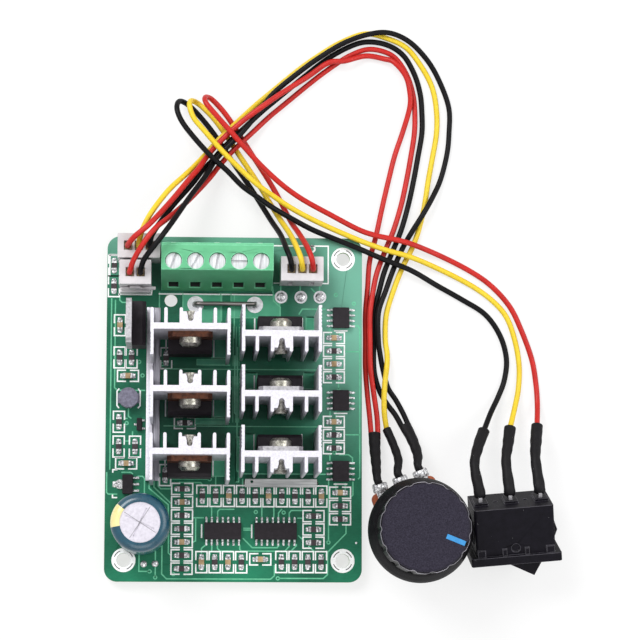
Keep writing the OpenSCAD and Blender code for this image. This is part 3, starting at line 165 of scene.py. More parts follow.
# name: place, size of the square soft box, power; all point at the middle
LAMPS = {
    "key_box": ((-0.38, 0.52, 0.75), 0.5, 7.2),
    "fill_box": ((0.62, 0.12, 0.6), 0.6, 3.2),
    "front_box": ((0.05, -0.6, 0.6), 0.6, 2.3)}
for name, (at, box_size, power) in LAMPS.items():
    light = bpy.data.lights.new(name, "AREA")
    light.size, light.energy = box_size, power
    lamp = bpy.data.objects.new(name, light)
    lamp.location = at
    lamp.rotation_mode = "QUATERNION"
    lamp.rotation_quaternion = (MIDDLE - Vector(at)).to_track_quat("-Z", "Y")
    scene.collection.objects.link(lamp)
scene.view_settings.view_transform = "Standard"

# %% [markdown]
# ## Effects that several finishes share
# No real surface is one flat colour. Moulded plastic is faintly cloudy, drawn metal has streaks, and
# everything carries a little dust. These effects are made once, as node groups with named sockets, and
# each finish sets its own scale and stretch. The groups give only masks and heights, so every shader and
# every plain number stays in its own material.

# %% Node groups for clouding, streaks and specks
FLOAT, VECTOR = "NodeSocketFloat", "NodeSocketVector"


def new_group(name, inputs):
    """An empty node group with a place, two more inputs and one mask as its output."""
    tree = bpy.data.node_groups.new(name, "ShaderNodeTree")
    tree.interface.new_socket(name="Place", in_out="INPUT", socket_type=VECTOR)
    for label, kind, value in inputs:
        tree.interface.new_socket(name=label, in_out="INPUT", socket_type=kind).default_value = value
    tree.interface.new_socket(name="Mask", in_out="OUTPUT", socket_type=FLOAT)
    given = tree.nodes.new("NodeGroupInput").outputs
    return tree, given, tree.nodes.new("NodeGroupOutput").inputs["Mask"]


def contrasted(tree, value, contrast):
    """Spreads a noise of 0 to 1 about its middle."""
    spread = calc(tree, "MULTIPLY", calc(tree, "SUBTRACT", value, 0.5), contrast)
    return calc(tree, "ADD", spread, 0.5, clamp=True)


clouding, given, mask = new_group("clouding", [("Scale", FLOAT, 500.0), ("Contrast", FLOAT, 1.0)])
broad = put(clouding, "ShaderNodeTexNoise", [(given["Place"], "Vector"), (given["Scale"], "Scale")],
            Detail=5.0, Roughness=0.6)
clouding.links.new(contrasted(clouding, broad.outputs["Fac"], given["Contrast"]), mask)

streaks, given, mask = new_group("streaks", [("Stretch", VECTOR, (1.0, 1.0, 1.0)), ("Contrast", FLOAT, 1.0)])
drawn_out = put(streaks, "ShaderNodeVectorMath", [(given["Place"], 0), (given["Stretch"], 1)],
                operation="MULTIPLY")
lines = put(streaks, "ShaderNodeTexNoise", [(drawn_out.outputs[0], "Vector")], Scale=1.0, Detail=3.0)
streaks.links.new(contrasted(streaks, lines.outputs["Fac"], given["Contrast"]), mask)

specks, given, mask = new_group("specks", [("Scale", FLOAT, 900.0), ("Size", FLOAT, 0.12)])
cells = put(specks, "ShaderNodeTexVoronoi", [(given["Place"], "Vector"), (given["Scale"], "Scale")])
specks.links.new(calc(specks, "LESS_THAN", cells.outputs["Distance"], given["Size"]), mask)
print("shared effects:", [g.name for g in (clouding, streaks, specks)])

# %% [markdown]
# ## A finish from two shades
# Most finishes here are two close shades of one colour, mixed by a mask, with the roughness and a faint
# bump read from the same place. One function lays out those nodes. It keeps the Principled shader in the
# material, with its plain numbers on its own sockets, and places the shared groups in front of it.

# %% Functions for masks and colours
FINISHES = {}


def shade(red, green, blue):
    """A colour, given 0 to 255 a channel, as the linear numbers that a shader takes."""
    return tuple((c / 255 / 12.92 if c <= 10.3 else ((c / 255 + 0.055) / 1.055) ** 2.4)
                 for c in (red, green, blue)) + (1.0,)


def use_group(tree, group, place, *values):
    """Places a shared group in a material and sets its inputs: the place, and then its two others."""
    node = put(tree, "ShaderNodeGroup", node_tree=group)
    for value, socket in zip((place,) + values, node.inputs):
        feed(tree, value, socket)
    return node.outputs["Mask"]


def start_material(name, metallic=0.0, coat=0.0, coat_roughness=0.1, gloss=0.5):
    """A new finish: its node tree, its Principled shader and the object's own coordinates."""
    FINISHES[name] = bpy.data.materials.new(name)
    FINISHES[name].use_nodes = True
    tree = FINISHES[name].node_tree
    shader = tree.nodes["Principled BSDF"]
    shader.inputs["Metallic"].default_value = metallic
    shader.inputs["Coat Weight"].default_value = coat
    shader.inputs["Coat Roughness"].default_value = coat_roughness
    shader.inputs["Specular IOR Level"].default_value = gloss
    return tree, shader, tree.nodes.new("ShaderNodeTexCoord").outputs["Object"]


def axes_of(tree, place):
    """The outputs X, Y and Z of a place."""
    return put(tree, "ShaderNodeSeparateXYZ", [(place, "Vector")]).outputs


def mixed(tree, mask, low, high):
    """A colour between two others, each of them a socket or a given shade."""
    node = put(tree, "ShaderNodeMix", [(mask, "Factor")], data_type="RGBA")
    for value, socket in ((low, node.inputs[6]), (high, node.inputs[7])):
        feed(tree, shade(*value) if isinstance(value, tuple) else value, socket)
    return node.outputs[2]


def ranged(tree, mask, low, high):
    """A mask of 0 to 1 stretched between two numbers."""
    return put(tree, "ShaderNodeMapRange", [(mask, "Value")], To_Min=low, To_Max=high).outputs["Result"]


def rising(tree, value, low, high, top=1.0):
    """A mask that grows from 0 to top between two marks in millimetres."""
    return put(tree, "ShaderNodeMapRange", [(value, "Value")], From_Min=low * MM, From_Max=high * MM,
               To_Max=top).outputs["Result"]


def between(tree, value, low, high):
    """1 where a place along one axis lies between two marks in millimetres."""
    return calc(tree, "COMPARE", value, (low + high) / 2 * MM, (high - low) / 2 * MM)


def complete(tree, shader, color, roughness, height=None, strength=0.0, distance=0.00005):
    """Gives the shader its colour, its roughness and, from a height, its bump."""
    tree.links.new(color, shader.inputs["Base Color"])
    tree.links.new(roughness, shader.inputs["Roughness"])
    if height:
        bump = put(tree, "ShaderNodeBump", [(height, "Height")], Strength=strength, Distance=distance)
        tree.links.new(bump.outputs["Normal"], shader.inputs["Normal"])


print("mid grey as a shader takes it:", round(shade(128, 128, 128)[0], 3))

# %% A function for the plain finishes
DUST, DUST_SCALE, GRAIN_CONTRAST = (205, 205, 205), 700.0, 1.5


def plain_finish(name, dark, light, rough, scale=900.0, contrast=1.6, grain=4000.0, bump=0.15,
                 stretch=None, metallic=0.0, coat=0.0, dust=0.0, gloss=0.4):
    """Two shades of one colour, with a grain that catches the light and some dust."""
    tree, shader, place = start_material(name, metallic, coat, gloss=gloss)
    if stretch is None:
        mask = use_group(tree, clouding, place, scale, contrast)
        fine = use_group(tree, clouding, place, grain, GRAIN_CONTRAST)
    else:
        fine = mask = use_group(tree, streaks, place, stretch, contrast)
    color = mixed(tree, mask, dark, light)
    if dust:
        color = mixed(tree, use_group(tree, specks, place, DUST_SCALE, dust), color, DUST)
    complete(tree, shader, color, ranged(tree, fine, *rough), fine, bump)


print("finish function ready, dust", DUST)

# %% [markdown]
# ## The eight wires
# Thin stranded wires with PVC insulation, 1.3 mm over all, are cut to about the same length and left to
# lie as they fall. Each one rises out of its plug, arches down to the table, crosses the others and ends
# in a sleeve at the knob or the switch. A wire is one smooth curve with a round bevel, because a curve
# keeps an even thickness through every bend. Its points lift by one wire thickness at a crossing.

# %% Wire routes
WIRE_D, LAY_Z = 1.3, -1.25
CONTACT_Z, PLUG_RISE, INTO_SLEEVE = 9.4, 2.8, 1.4
# name: finish, contact in the plug, real length, sleeve it ends in, and the route as x, y and height above
# lying flat; a point without a height lies flat
WIRES = {
    "pot_wire_red_1": ("wire_red", (0.5, 72.5), 182.4, "pot_sleeve_1", [
        (2, 74, 16.2), (5.5, 77, 16.5), (10, 82.5, 13), (14.5, 88.8, 8.4), (16.8, 92, 5.7), (19, 95.5, 3.7),
        (21.5, 98.5, 3.2), (24.5, 101.5, 3.2), (28, 104.5, 3.4), (32, 107.5, 3.6), (36, 110.5, 2.9),
        (42.5, 115, 1.5), (47.5, 118.5, 1.5), (51.5, 119, 1.6), (56.5, 120.5, 0.5), (61, 119.8, 0.6),
        (63.3, 118.8, 1.5), (66, 115.5, 1.6), (67, 111.5, 1.5), (67, 108, 1), (65.5, 102.5), (63.5, 96.5),
        (62, 90.5), (60.5, 84), (59, 77), (57.5, 71), (57, 64.5), (56.5, 58.5), (56.5, 52), (56.5, 45.5),
        (57, 39), (57.5, 34, 0.2), (57.8, 30, 0.75)]),
    "pot_wire_red_2": ("wire_red", (0.95, 66.3), 188.9, "pot_sleeve_1", [
        (2, 69, 15.5), (4.5, 73, 17), (7, 76.2, 16.4), (10, 79, 13.8), (14.5, 84, 7.8), (19, 89.5, 3.9),
        (21.5, 93, 2.1), (24, 96, 1.7), (27, 99, 1.7), (30, 102, 0.9), (33.5, 105.5), (37, 108.5),
        (43.5, 114), (48, 117.5), (52.5, 120.5), (57, 122.2), (61.2, 121.6), (64.1, 119.7), (66.6, 115.6),
        (67.9, 111.2), (68.3, 107), (68.2, 102), (67.3, 96), (66.3, 90.5), (65, 84.5), (63.2, 78.5),
        (61.3, 73.8), (59.3, 68.5, 0.2), (58.3, 64, 0.8), (57.5, 58.5, 1.4), (57.5, 52, 1.4),
        (57.6, 45.5, 1.4), (58.4, 39.5, 1), (59.2, 34, 0.7), (59.4, 30, 0.75)]),
    "pot_wire_yellow": ("wire_yellow", (3.0, 72.5), 191.0, "pot_sleeve_2", [
        (3.5, 75, 15), (5.5, 79.5, 14), (9.5, 85.5, 11), (13.5, 90, 7.2), (16, 93, 3.8), (18.5, 96, 2.1),
        (21, 99, 1.7), (24, 102, 1.8), (27, 105, 1.2), (30.5, 108.5), (34, 111.5), (40.5, 117), (46, 121),
        (51, 124), (56.5, 126), (61.5, 125), (66.3, 122.7), (70, 118), (72.5, 113), (73.5, 107.5),
        (73.5, 102), (72.5, 96), (71.5, 90.5), (70.5, 84), (69, 78), (67.5, 74), (65.5, 70), (63.5, 65),
        (61.5, 58.5), (61.2, 52.5), (61.6, 49, 0.5), (61.5, 46, 1.5), (61, 42, 1.7), (60.8, 38, 1.7),
        (60.9, 34.5, 1.5), (61.5, 31, 0.6)]),
    "pot_wire_black_1": ("wire_black", (5.5, 72.5), 184.4, "pot_sleeve_3", [
        (6, 74.5, 15), (8, 78, 13.5), (11, 82.5, 10.5), (15.2, 88, 6.5), (17.5, 91.5, 3.8), (20, 94.5, 2.1),
        (22.5, 97.5, 1.7), (25.5, 100.5, 1.8), (28.5, 103.5, 1), (32, 107), (35.5, 110), (42, 115.5),
        (47, 119.5), (52, 122.5), (56.5, 124), (61.5, 123.4), (65.5, 120.9), (68.2, 116.3), (69.6, 111.5),
        (70, 107), (70, 102), (69, 96), (68, 90.5), (66.7, 84.5), (65, 78.5), (63, 73.5), (61, 68.5),
        (59.8, 64), (58.5, 58.5), (58.5, 52), (58.5, 45.5), (59.5, 41), (61.3, 37.5), (63.5, 34.5, 0.4),
        (65.1, 31.6, 0.75)]),
    "pot_wire_black_2": ("wire_black", (3.45, 66.3), 201.3, "pot_sleeve_3", [
        (4.4, 68.9, 16.4), (8, 73.5, 18), (11, 78, 16), (14.5, 84, 10.8), (18.3, 90, 5.8), (20.5, 94, 3.6),
        (23, 97, 3.2), (26, 100, 3.2), (28.5, 103, 2.8), (31.5, 107, 1.7), (34.5, 111, 1.5),
        (41, 116.5, 1.5), (46.5, 120.5, 1.5), (51.5, 123.5, 1.5), (57, 125.5, 1.7), (62, 126, 1.5),
        (67, 124, 0.8), (71.5, 119.5), (74.5, 114), (76.5, 108), (76.5, 102), (76, 97), (74.5, 91),
        (72.5, 86.5, 1), (70, 82, 1.7), (67.5, 78, 1), (65.5, 74.5), (63.3, 69.5, 0.1), (61.3, 64, 0.8),
        (59.5, 58.5, 1.4), (59.5, 52, 1.3), (59.9, 49, 0.7), (60.6, 45.5), (61.8, 41), (63.7, 38),
        (65.3, 35, 0.4), (66.4, 32.5, 0.75)]),
    "switch_wire_black": ("wire_black", (38.45, 67.4), 185.7, "switch_sleeve_1", [
        (38, 69.5, 15), (37, 72.5, 13), (36, 76, 8), (34, 80, 3), (31.5, 84.5, 0.5), (29, 88.5), (24.5, 95),
        (20.5, 101), (17.5, 104.8), (14.5, 107.8, 0.6), (12.2, 108.5, 2.8), (11.5, 106.5, 4.9),
        (12.5, 103.5, 5.5), (15, 100, 5.7), (19.5, 95, 5.6), (23.5, 91.5, 5), (27, 88, 4.7),
        (30.5, 85.5, 4.7), (34, 83, 5), (39, 80, 5.7), (43.5, 77.8, 4.7), (48, 76, 4.4), (54.5, 73.5, 4.1),
        (58.5, 72, 2.8), (62, 70.7, 2.1), (67.5, 68.5, 1.9), (73.5, 65.3, 0.3), (79.5, 62), (85, 58.5),
        (88.5, 53.5), (90, 48), (89.5, 43), (88, 39, 0.5), (86, 35, 2), (84, 30.5, 5)]),
    "switch_wire_yellow": ("wire_yellow", (40.95, 67.4), 184.6, "switch_sleeve_2", [
        (40.5, 69.5, 15), (39.5, 72.5, 13), (38.3, 76, 8), (36, 80.5, 3), (33.5, 85, 0.5), (31, 89.3),
        (26.5, 96), (22.5, 102), (19.8, 105.5), (17, 108, 0.8), (15, 108.6, 3), (14.5, 107, 5),
        (15.5, 104, 5.5), (18, 101, 5.5), (22, 96.5, 5.2), (26.8, 91.8, 4.7), (30.5, 88.5, 4.4),
        (34, 86, 4.3), (38, 83.3, 4.3), (42.5, 80.8, 4.3), (48, 78.2, 4.3), (54.5, 75.5, 4.1),
        (58.5, 74.2, 2.9), (62, 73.2, 2.2), (67.5, 71.7, 1.9), (74.5, 69, 0.3), (81.5, 65.5), (86.5, 62),
        (90, 58), (92, 52.5), (93, 46.5), (92.8, 41, 0.2), (91.8, 36.5, 1.5), (90.2, 31.2, 4.8)]),
    "switch_wire_red": ("wire_red", (43.45, 67.4), 183.7, "switch_sleeve_3", [
        (43, 69.5, 15), (42, 72.5, 13), (40.6, 76, 7.6), (38.6, 80, 2.6), (36, 85.5, 0.5), (33.5, 90),
        (29, 97), (24.5, 104), (22, 107.3, 0.2), (19.6, 109.4, 1.5), (18.2, 109.3, 3.7), (18.5, 107.5, 5.3),
        (21, 104.5, 5.4), (24, 101.2, 5), (27.5, 97.3, 4.6), (31.5, 93, 4.2), (36.5, 88.5, 3.9),
        (41.5, 85, 3.7), (48, 81.5, 3.5), (54.5, 78.2, 3), (58.5, 76.9, 2.5), (62, 76.2, 2.3),
        (67, 75, 2.3), (74.5, 72.3, 0.3), (81.5, 68.8), (86.5, 65.3), (90.8, 60.5), (93.5, 55), (96, 48),
        (97, 42), (97.2, 37, 0.8), (96.6, 31.8, 4.6)])}
print("wires:", len(WIRES))

# %% The wires as bevelled curves
for name, dark, light, rough, gloss in (("wire_red", (168, 24, 20), (198, 38, 31), 0.48, 0.3),
                                        ("wire_yellow", (218, 184, 32), (234, 206, 58), 0.48, 0.3),
                                        ("wire_black", (5, 5, 6), (15, 14, 17), 0.5, 0.12)):
    plain_finish(name, dark, light, (0.34, rough), scale=260.0, grain=2600.0, bump=0.05, gloss=gloss)


CURVE_SIDES, CURVE_STEPS = 3, 6


def add_piece(ob, finish, body="board", replaces=None):
    """Links a piece with its finish. It moves with a body, and hides the imported node it replaces."""
    ob.data.materials.append(FINISHES[finish])
    scene.collection.objects.link(ob)
    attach(ob, body)
    if replaces:
        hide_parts(replaces)


def smooth_bar(name, points, radius, finish, replaces):
    """A round bar along points in millimetres. Each handle is a sixth of the way between the neighbours."""
    curve = bpy.data.curves.new(name, "CURVE")
    curve.dimensions, curve.use_fill_caps = "3D", True
    curve.bevel_depth, curve.bevel_resolution, curve.resolution_u = radius * MM, CURVE_SIDES, CURVE_STEPS
    spline = curve.splines.new("BEZIER")
    spline.bezier_points.add(len(points) - 1)
    places = [Vector(p) for p in points]
    places = [2 * places[0] - places[1]] + places + [2 * places[-1] - places[-2]]
    for k, knot in enumerate(spline.bezier_points):
        reach = (places[k + 2] - places[k]) / 6
        knot.handle_left_type = knot.handle_right_type = "FREE"
        knot.co, knot.handle_left, knot.handle_right = (p * MM for p in (
            places[k + 1], places[k + 1] - reach, places[k + 1] + reach))
    ob = bpy.data.objects.new(name, curve)
    add_piece(ob, finish, "board", replaces)
    return ob


def lifted(route):
    """The route at its real heights, with its end pushed straight on into the sleeve."""
    places = [Vector((x, y, sum(height) + LAY_Z)) for x, y, *height in route]
    return places + [places[-1] + (places[-1] - places[-2]).normalized() * INTO_SLEEVE]


for name, (finish, contact, length, sleeve, route) in WIRES.items():
    start = [contact + (CONTACT_Z,), contact + (CONTACT_Z + PLUG_RISE,)]
    smooth_bar(name + "_insulation", start + lifted(route), WIRE_D / 2, finish, name)

# %% [markdown]
# ## Heat-shrink sleeves
# A black sleeve is slipped over each soldered joint and shrunk with hot air, so it grips the lug tightly,
# bulges a little over the solder, and stays rounder and looser where the wire goes in. Each one is a ring
# of vertices, extruded from place to place along its own line and turned inward at the open end, so the
# wall thickness shows there.

# %% Where the sleeves sit on their lugs and terminals
def spun(at, point, degrees):
    """A point turned about at, in millimetres."""
    c, s = math.cos(math.radians(degrees)), math.sin(math.radians(degrees))
    return (at[0] + c * point[0] - s * point[1], at[1] + s * point[0] + c * point[1])


POT_AT, LUG_ANGLE, LUG_PITCH, LUG_REACH, LUG_Z = (68.3, 6.8), 109.0, 5.0, 13.4, 5.85
SWITCH_AT, SWITCH_TURN, SWITCH_PITCH = (90.3, 3.4, 5.7425), 5.0, math.radians(19.0)
TERMINAL_PITCH, STUB_REACH = 7.0, 12.7


def lug_point(k, out):
    """A place along a lug of the speed control, out from its tip."""
    return spun(POT_AT, (k * LUG_PITCH, LUG_REACH + out), LUG_ANGLE - 90) + (LUG_Z,)


def stub_point(k, out):
    """A place along a terminal of the tilted switch, out from its tip."""
    reach = STUB_REACH + out
    place = spun(SWITCH_AT, (k * TERMINAL_PITCH, reach * math.cos(SWITCH_PITCH)), SWITCH_TURN)
    return place + (SWITCH_AT[2] + reach * math.sin(SWITCH_PITCH),)


POT_JOINT, STUB_JOINT = (0.95, 0.95), (1.35, 1.1)
# name: which joint from the middle one, half width and half thickness there, then further places as x, y,
# height above lying flat, half width and half thickness
SLEEVES = {
    "pot_sleeve_1": (-1, lug_point, POT_JOINT, [
        (58.7, 22.4, 4.9, 1.15, 1.0), (58.6, 26.3, 2.4, 1.32, 1.0), (58.6, 30, 0.75, 1.45, 0.95)]),
    "pot_sleeve_2": (0, lug_point, POT_JOINT, [
        (63.9, 23.6, 4.8, 1.0, 1.0), (62.9, 27.4, 2.4, 0.98, 1.0), (61.5, 31, 0.6, 1.03, 1.0)]),
    "pot_sleeve_3": (1, lug_point, POT_JOINT, [
        (68.4, 24.8, 5, 1.15, 1.0), (67.4, 28.4, 2.6, 1.3, 1.0), (65.8, 32, 0.75, 1.45, 0.95)]),
    "switch_sleeve_1": (-1, stub_point, STUB_JOINT, [
        (81.2, 22, 10.4, 1.15, 1.1), (82.3, 26.5, 8, 1.3, 1.2), (84, 30.5, 5, 1.4, 1.2)]),
    "switch_sleeve_2": (0, stub_point, STUB_JOINT, [
        (88.6, 23, 10, 1.15, 1.1), (89.4, 27.3, 7.4, 1.3, 1.15), (90.2, 31.2, 4.8, 1.4, 1.2)]),
    "switch_sleeve_3": (1, stub_point, STUB_JOINT, [
        (95.5, 23.6, 9.8, 1.2, 1.1), (96, 28, 7.1, 1.36, 1.15), (96.6, 31.8, 4.6, 1.38, 1.2)])}
print("middle lug tip:", [round(c, 2) for c in lug_point(0, 0.0)])


# %% Functions for a tube along a line, and for a finished mesh
def along(points, steps):
    """Points of a smooth line through rows of numbers, a few between each pair."""
    rows = [Vector(p) for p in points]
    rows = [2 * rows[0] - rows[1]] + rows + [2 * rows[-1] - rows[-2]]
    found = []
    for k in range(1, len(rows) - 2):
        a, b, c, d = rows[k - 1:k + 3]
        for i in range(steps):
            t = i / steps
            found.append(0.5 * (2 * b + (c - a) * t + (2 * a - 5 * b + 4 * c - d) * t ** 2
                                + (3 * b - a - 3 * c + d) * t ** 3))
    return found + [rows[-2]]


def ring_frame(at, heading, wide, thick):
    """A matrix that places a unit circle at a point, across its heading, widest along the table."""
    level = Vector((1, 0, 0))
    across = (level - heading * level.dot(heading)).normalized()
    over = heading.cross(across)
    frame_axes = Matrix((across * wide, over * thick, heading)).transposed()
    return Matrix.Translation(Vector(at) * MM) @ frame_axes.to_4x4() @ Matrix.Diagonal((MM, MM, MM, 1))


def hollow_tube(bm, frames, sides):
    """Extrudes a filled circle from frame to frame, and gives back the last ring of edges."""
    first = bmesh.ops.create_circle(bm, segments=sides, radius=1.0, cap_ends=True, matrix=frames[0])["verts"]
    edges = list({e for v in first for e in v.link_edges})
    for last, place in zip(frames, frames[1:]):
        made = bmesh.ops.extrude_edge_only(bm, edges=edges)["geom"]
        verts = [g for g in made if isinstance(g, bmesh.types.BMVert)]
        edges = [g for g in made if isinstance(g, bmesh.types.BMEdge)
                 and all(v in verts for v in g.verts)]
        bmesh.ops.transform(bm, matrix=place @ last.inverted(), verts=verts)
    return edges


def add_mesh(bm, name, finish, replaces=None, angle=None):
    """Turns a bmesh into a piece of the board, flat or smooth up to an angle, with its faces outward."""
    bmesh.ops.recalc_face_normals(bm, faces=bm.faces[:])
    mesh = bpy.data.meshes.new(name)
    bm.to_mesh(mesh)
    bm.free()
    for face in mesh.polygons:
        face.use_smooth = angle is not None
    if angle is not None:
        mesh.set_sharp_from_angle(angle=math.radians(angle))
    add_piece(bpy.data.objects.new(name, mesh), finish, "board", replaces)


print("tube functions ready")

# %% The sleeves
plain_finish("shrink_black", (9, 8, 10), (22, 21, 24), (0.46, 0.68), scale=520.0, grain=1500.0, bump=0.5,
             dust=0.03, gloss=0.16)
SHRINK_WALL, MOUTH_DEPTH, SLEEVE_STEPS, SLEEVE_SIDES = 0.28, 1.6, 8, 24
CREASE, CREASE_PACE, CREASE_SHIFT = 0.045, 1.3, 2.0
for name, (k, joint, (wide, thick), rest) in SLEEVES.items():
    rows = [joint(k, out) + (wide, thick) for out in (0.0, WIRE_D)]
    rows += [(x, y, height + LAY_Z, w, t) for x, y, height, w, t in rest]
    rows = along(rows, SLEEVE_STEPS)
    frames = []
    for i, row in enumerate(rows):
        heading = (rows[min(i + 1, len(rows) - 1)] - rows[max(i - 1, 0)]).to_3d().normalized()
        fading = CREASE * math.sin(math.pi * i / len(rows))
        crease = 1 + fading * math.sin(CREASE_PACE * i + CREASE_SHIFT * k)
        frames.append((Vector(row[:3]), heading, row[3] * crease, row[4] / crease))
    end, heading, wide, thick = frames[-1]
    inner = (wide - SHRINK_WALL, thick - SHRINK_WALL)
    frames += [(end, heading) + inner, (end - heading * MOUTH_DEPTH, heading) + inner]
    bm = bmesh.new()
    rim = hollow_tube(bm, [ring_frame(*f) for f in frames], SLEEVE_SIDES)
    bmesh.ops.contextual_create(bm, geom=rim)
    add_mesh(bm, name, "shrink_black", "heat_shrink_sleeves", angle=50)

print("sleeves:", len(SLEEVES))

# %% [markdown]
# ## The green board
# The laminate is coated with a thin green lacquer that lets the copper shimmer through, so the green is
# uneven: fresher over wide copper and darker over bare laminate. Near the back and the right edge it is
# painted paler, a painted reflection of the sky. The cut edge shows pale glass fibre. All of this is one
# material that reads the place in the board for the edge and the painted sheen, and soft clouds for the
# copper.

# %% Board material
BOARD_TOP = 1.6
tree, shader, place = start_material("board_green", coat=0.08, coat_roughness=0.3, gloss=0.2)
copper = use_group(tree, clouding, place, 55.0, 2.6)
weave = use_group(tree, streaks, place, (900.0, 2600.0, 1.0), 1.2)
axes = axes_of(tree, place)
lacquer = mixed(tree, copper, (0, 66, 48), (22, 116, 84))
lacquer = mixed(tree, ranged(tree, weave, 0.0, 0.16), lacquer, (70, 160, 120))
# painted sheen: the lacquer is painted paler towards the back and the right edge, a painted reflection of the
# sky
painted_sheen_right = calc(tree, "MULTIPLY", rising(tree, axes["X"], 38, 50), rising(tree, axes["Y"], 20, 50, 0.62))
painted_sheen = calc(tree, "MAXIMUM", rising(tree, axes["Y"], 62, 76, 0.5), painted_sheen_right)
lacquer = mixed(tree, painted_sheen, lacquer, (128, 190, 168))
cut = mixed(tree, weave, (120, 160, 100), (150, 180, 120))
color = mixed(tree, rising(tree, axes["Z"], BOARD_TOP - 0.08, BOARD_TOP - 0.04), cut, lacquer)
complete(tree, shader, color, ranged(tree, weave, 0.32, 0.5), weave, 0.08, 0.00003)
print("board finish ready")

# %% [markdown]
# ## Metals
# The finned heatsinks are drawn aluminium, brushed clean, so they carry streaks along the way they were
# drawn and look nearly white under soft light. Tinned parts are duller, with small grey specks. The tabs
# of the left row have gone copper brown, those of the right row are still silver, so the shared tab
# finish changes with the place on the board.

# %% Metal materials
plain_finish("heatsink_aluminium", (196, 194, 202), (222, 220, 228), (0.36, 0.52), contrast=1.8,
             stretch=(2600.0, 2600.0, 90.0), metallic=0.55, bump=0.25)
plain_finish("solder_tin", (74, 74, 78), (248, 248, 250), (0.22, 0.5), scale=2600.0, contrast=3.2,
             grain=3400.0, bump=0.5, metallic=0.6)
plain_finish("bare_wire", (104, 98, 96), (150, 144, 142), (0.24, 0.38), stretch=(120.0, 2600.0, 2600.0),
             metallic=0.9)
plain_finish("strip_steel", (140, 142, 142), (192, 194, 192), (0.3, 0.5), contrast=2.4,
             stretch=(160.0, 3000.0, 3000.0), metallic=0.6, bump=0.3)
plain_finish("screw_steel", (198, 198, 202), (240, 240, 244), (0.25, 0.4), stretch=(3000.0, 300.0, 300.0),
             metallic=0.6, bump=0.2)
plain_finish("clamp_brass", (120, 104, 70), (170, 150, 104), (0.3, 0.5), metallic=0.85, bump=0.2)
plain_finish("screw_brass", (98, 95, 84), (196, 194, 184), (0.2, 0.36), scale=1500.0, contrast=2.2,
             metallic=0.85, bump=0.25)
plain_finish("crimp_brass", (88, 70, 50), (168, 148, 116), (0.25, 0.45), scale=1800.0, contrast=2.4,
             metallic=0.8, bump=0.3)
plain_finish("pot_steel", (150, 150, 152), (198, 198, 200), (0.3, 0.45), scale=700.0, metallic=0.8, bump=0.2)
plain_finish("can_aluminium", (188, 184, 194), (216, 212, 222), (0.36, 0.5), scale=1300.0, contrast=2.0,
             metallic=0.35, bump=0.25)

BROWN_FROM, BROWN_TO = 8.0, 24.0
tree, shader, place = start_material("tab_tin", metallic=0.6)
speckle = use_group(tree, clouding, place, 1300.0, 2.4)
tin = mixed(tree, speckle, (142, 141, 144), (204, 202, 206))
copper = mixed(tree, speckle, (46, 28, 22), (112, 66, 44))
brown = between(tree, axes_of(tree, place)["X"], BROWN_FROM, BROWN_TO)
complete(tree, shader, mixed(tree, brown, tin, copper), ranged(tree, speckle, 0.5, 0.26), speckle, 0.4,
         0.00004)
print("metal finishes:", sum(m in FINISHES for m in ("solder_tin", "tab_tin", "screw_brass")))

# %% [markdown]
# ## Plastics, ceramics and resin
# Black here is never one black. Chip resin is warm and dead matt, the switch is a cooler moulded nylon
# with a satin surface, and the knob's flat top is a soft purple grey beside its nearly black skirt. The
# green terminal block and the white plugs are glossier than the black parts.

# %% Plastic materials
plain_finish("resistor_black", (28, 23, 27), (62, 50, 54), (0.3, 0.5), scale=520.0, contrast=3.0, bump=0.2)
plain_finish("capacitor_tan", (138, 112, 80), (190, 164, 124), (0.4, 0.6), scale=420.0, contrast=3.0,
             bump=0.2)
plain_finish("epoxy_black", (22, 18, 22), (38, 33, 38), (0.5, 0.72), bump=0.4, grain=5000.0, dust=0.02,
             gloss=0.2)
plain_finish("choke_grey", (84, 82, 98), (132, 130, 148), (0.5, 0.7), scale=1500.0, contrast=2.2, bump=0.4)
plain_finish("nylon_white", (192, 189, 192), (216, 212, 214), (0.36, 0.52), scale=400.0, bump=0.12)
plain_finish("phenolic_brown", (132, 62, 34), (172, 88, 50), (0.42, 0.6), contrast=2.0,
             stretch=(1600.0, 300.0, 300.0), bump=0.2)
plain_finish("pointer_blue", (40, 122, 184), (62, 148, 206), (0.4, 0.56), scale=1200.0, bump=0.3)
plain_finish("switch_black", (7, 6, 11), (20, 18, 26), (0.42, 0.6), scale=600.0, grain=3600.0, bump=0.3,
             dust=0.022, gloss=0.08)
plain_finish("rocker_black", (7, 6, 11), (20, 18, 26), (0.34, 0.5), scale=600.0, grain=3600.0, bump=0.2,
             dust=0.02, gloss=0.07)
print("finishes so far:", len(FINISHES))

# %% The terminal block: painted shade inside its five wire mouths, which lie behind a sloping front, and a painted highlight on its upper part
BLOCK_X, MOUTH_Z, MOUTH_Y = (9.0, 32.8), (3.6, 6.8), (62.83, 70.0)
FRONT_SLOPE = 0.2957
tree, shader, place = start_material("terminal_green", gloss=0.35)
cloud = use_group(tree, clouding, place, 300.0, 1.6)
axes = axes_of(tree, place)
behind = calc(tree, "MULTIPLY_ADD", axes["Z"], -FRONT_SLOPE, axes["Y"])
# painted shade: the plastic is painted near black inside the wire mouths, where shade falls
mouth_shade = calc(tree, "MULTIPLY", between(tree, axes["X"], *BLOCK_X), between(tree, axes["Z"], *MOUTH_Z))
mouth_shade = calc(tree, "MULTIPLY", mouth_shade, between(tree, behind, *MOUTH_Y))
green = mixed(tree, cloud, (62, 152, 100), (88, 178, 124))
# painted highlight: the green is painted lighter from 4 to 9 mm up, where the top faces catch the light
green = mixed(tree, rising(tree, axes["Z"], 4, 9, 0.17), green, (156, 226, 192))
complete(tree, shader, mixed(tree, mouth_shade, green, (4, 18, 10)), ranged(tree, cloud, 0.34, 0.5), cloud, 0.12)
print("wire mouths dark from", MOUTH_Z[0], "to", MOUTH_Z[1], "mm up")

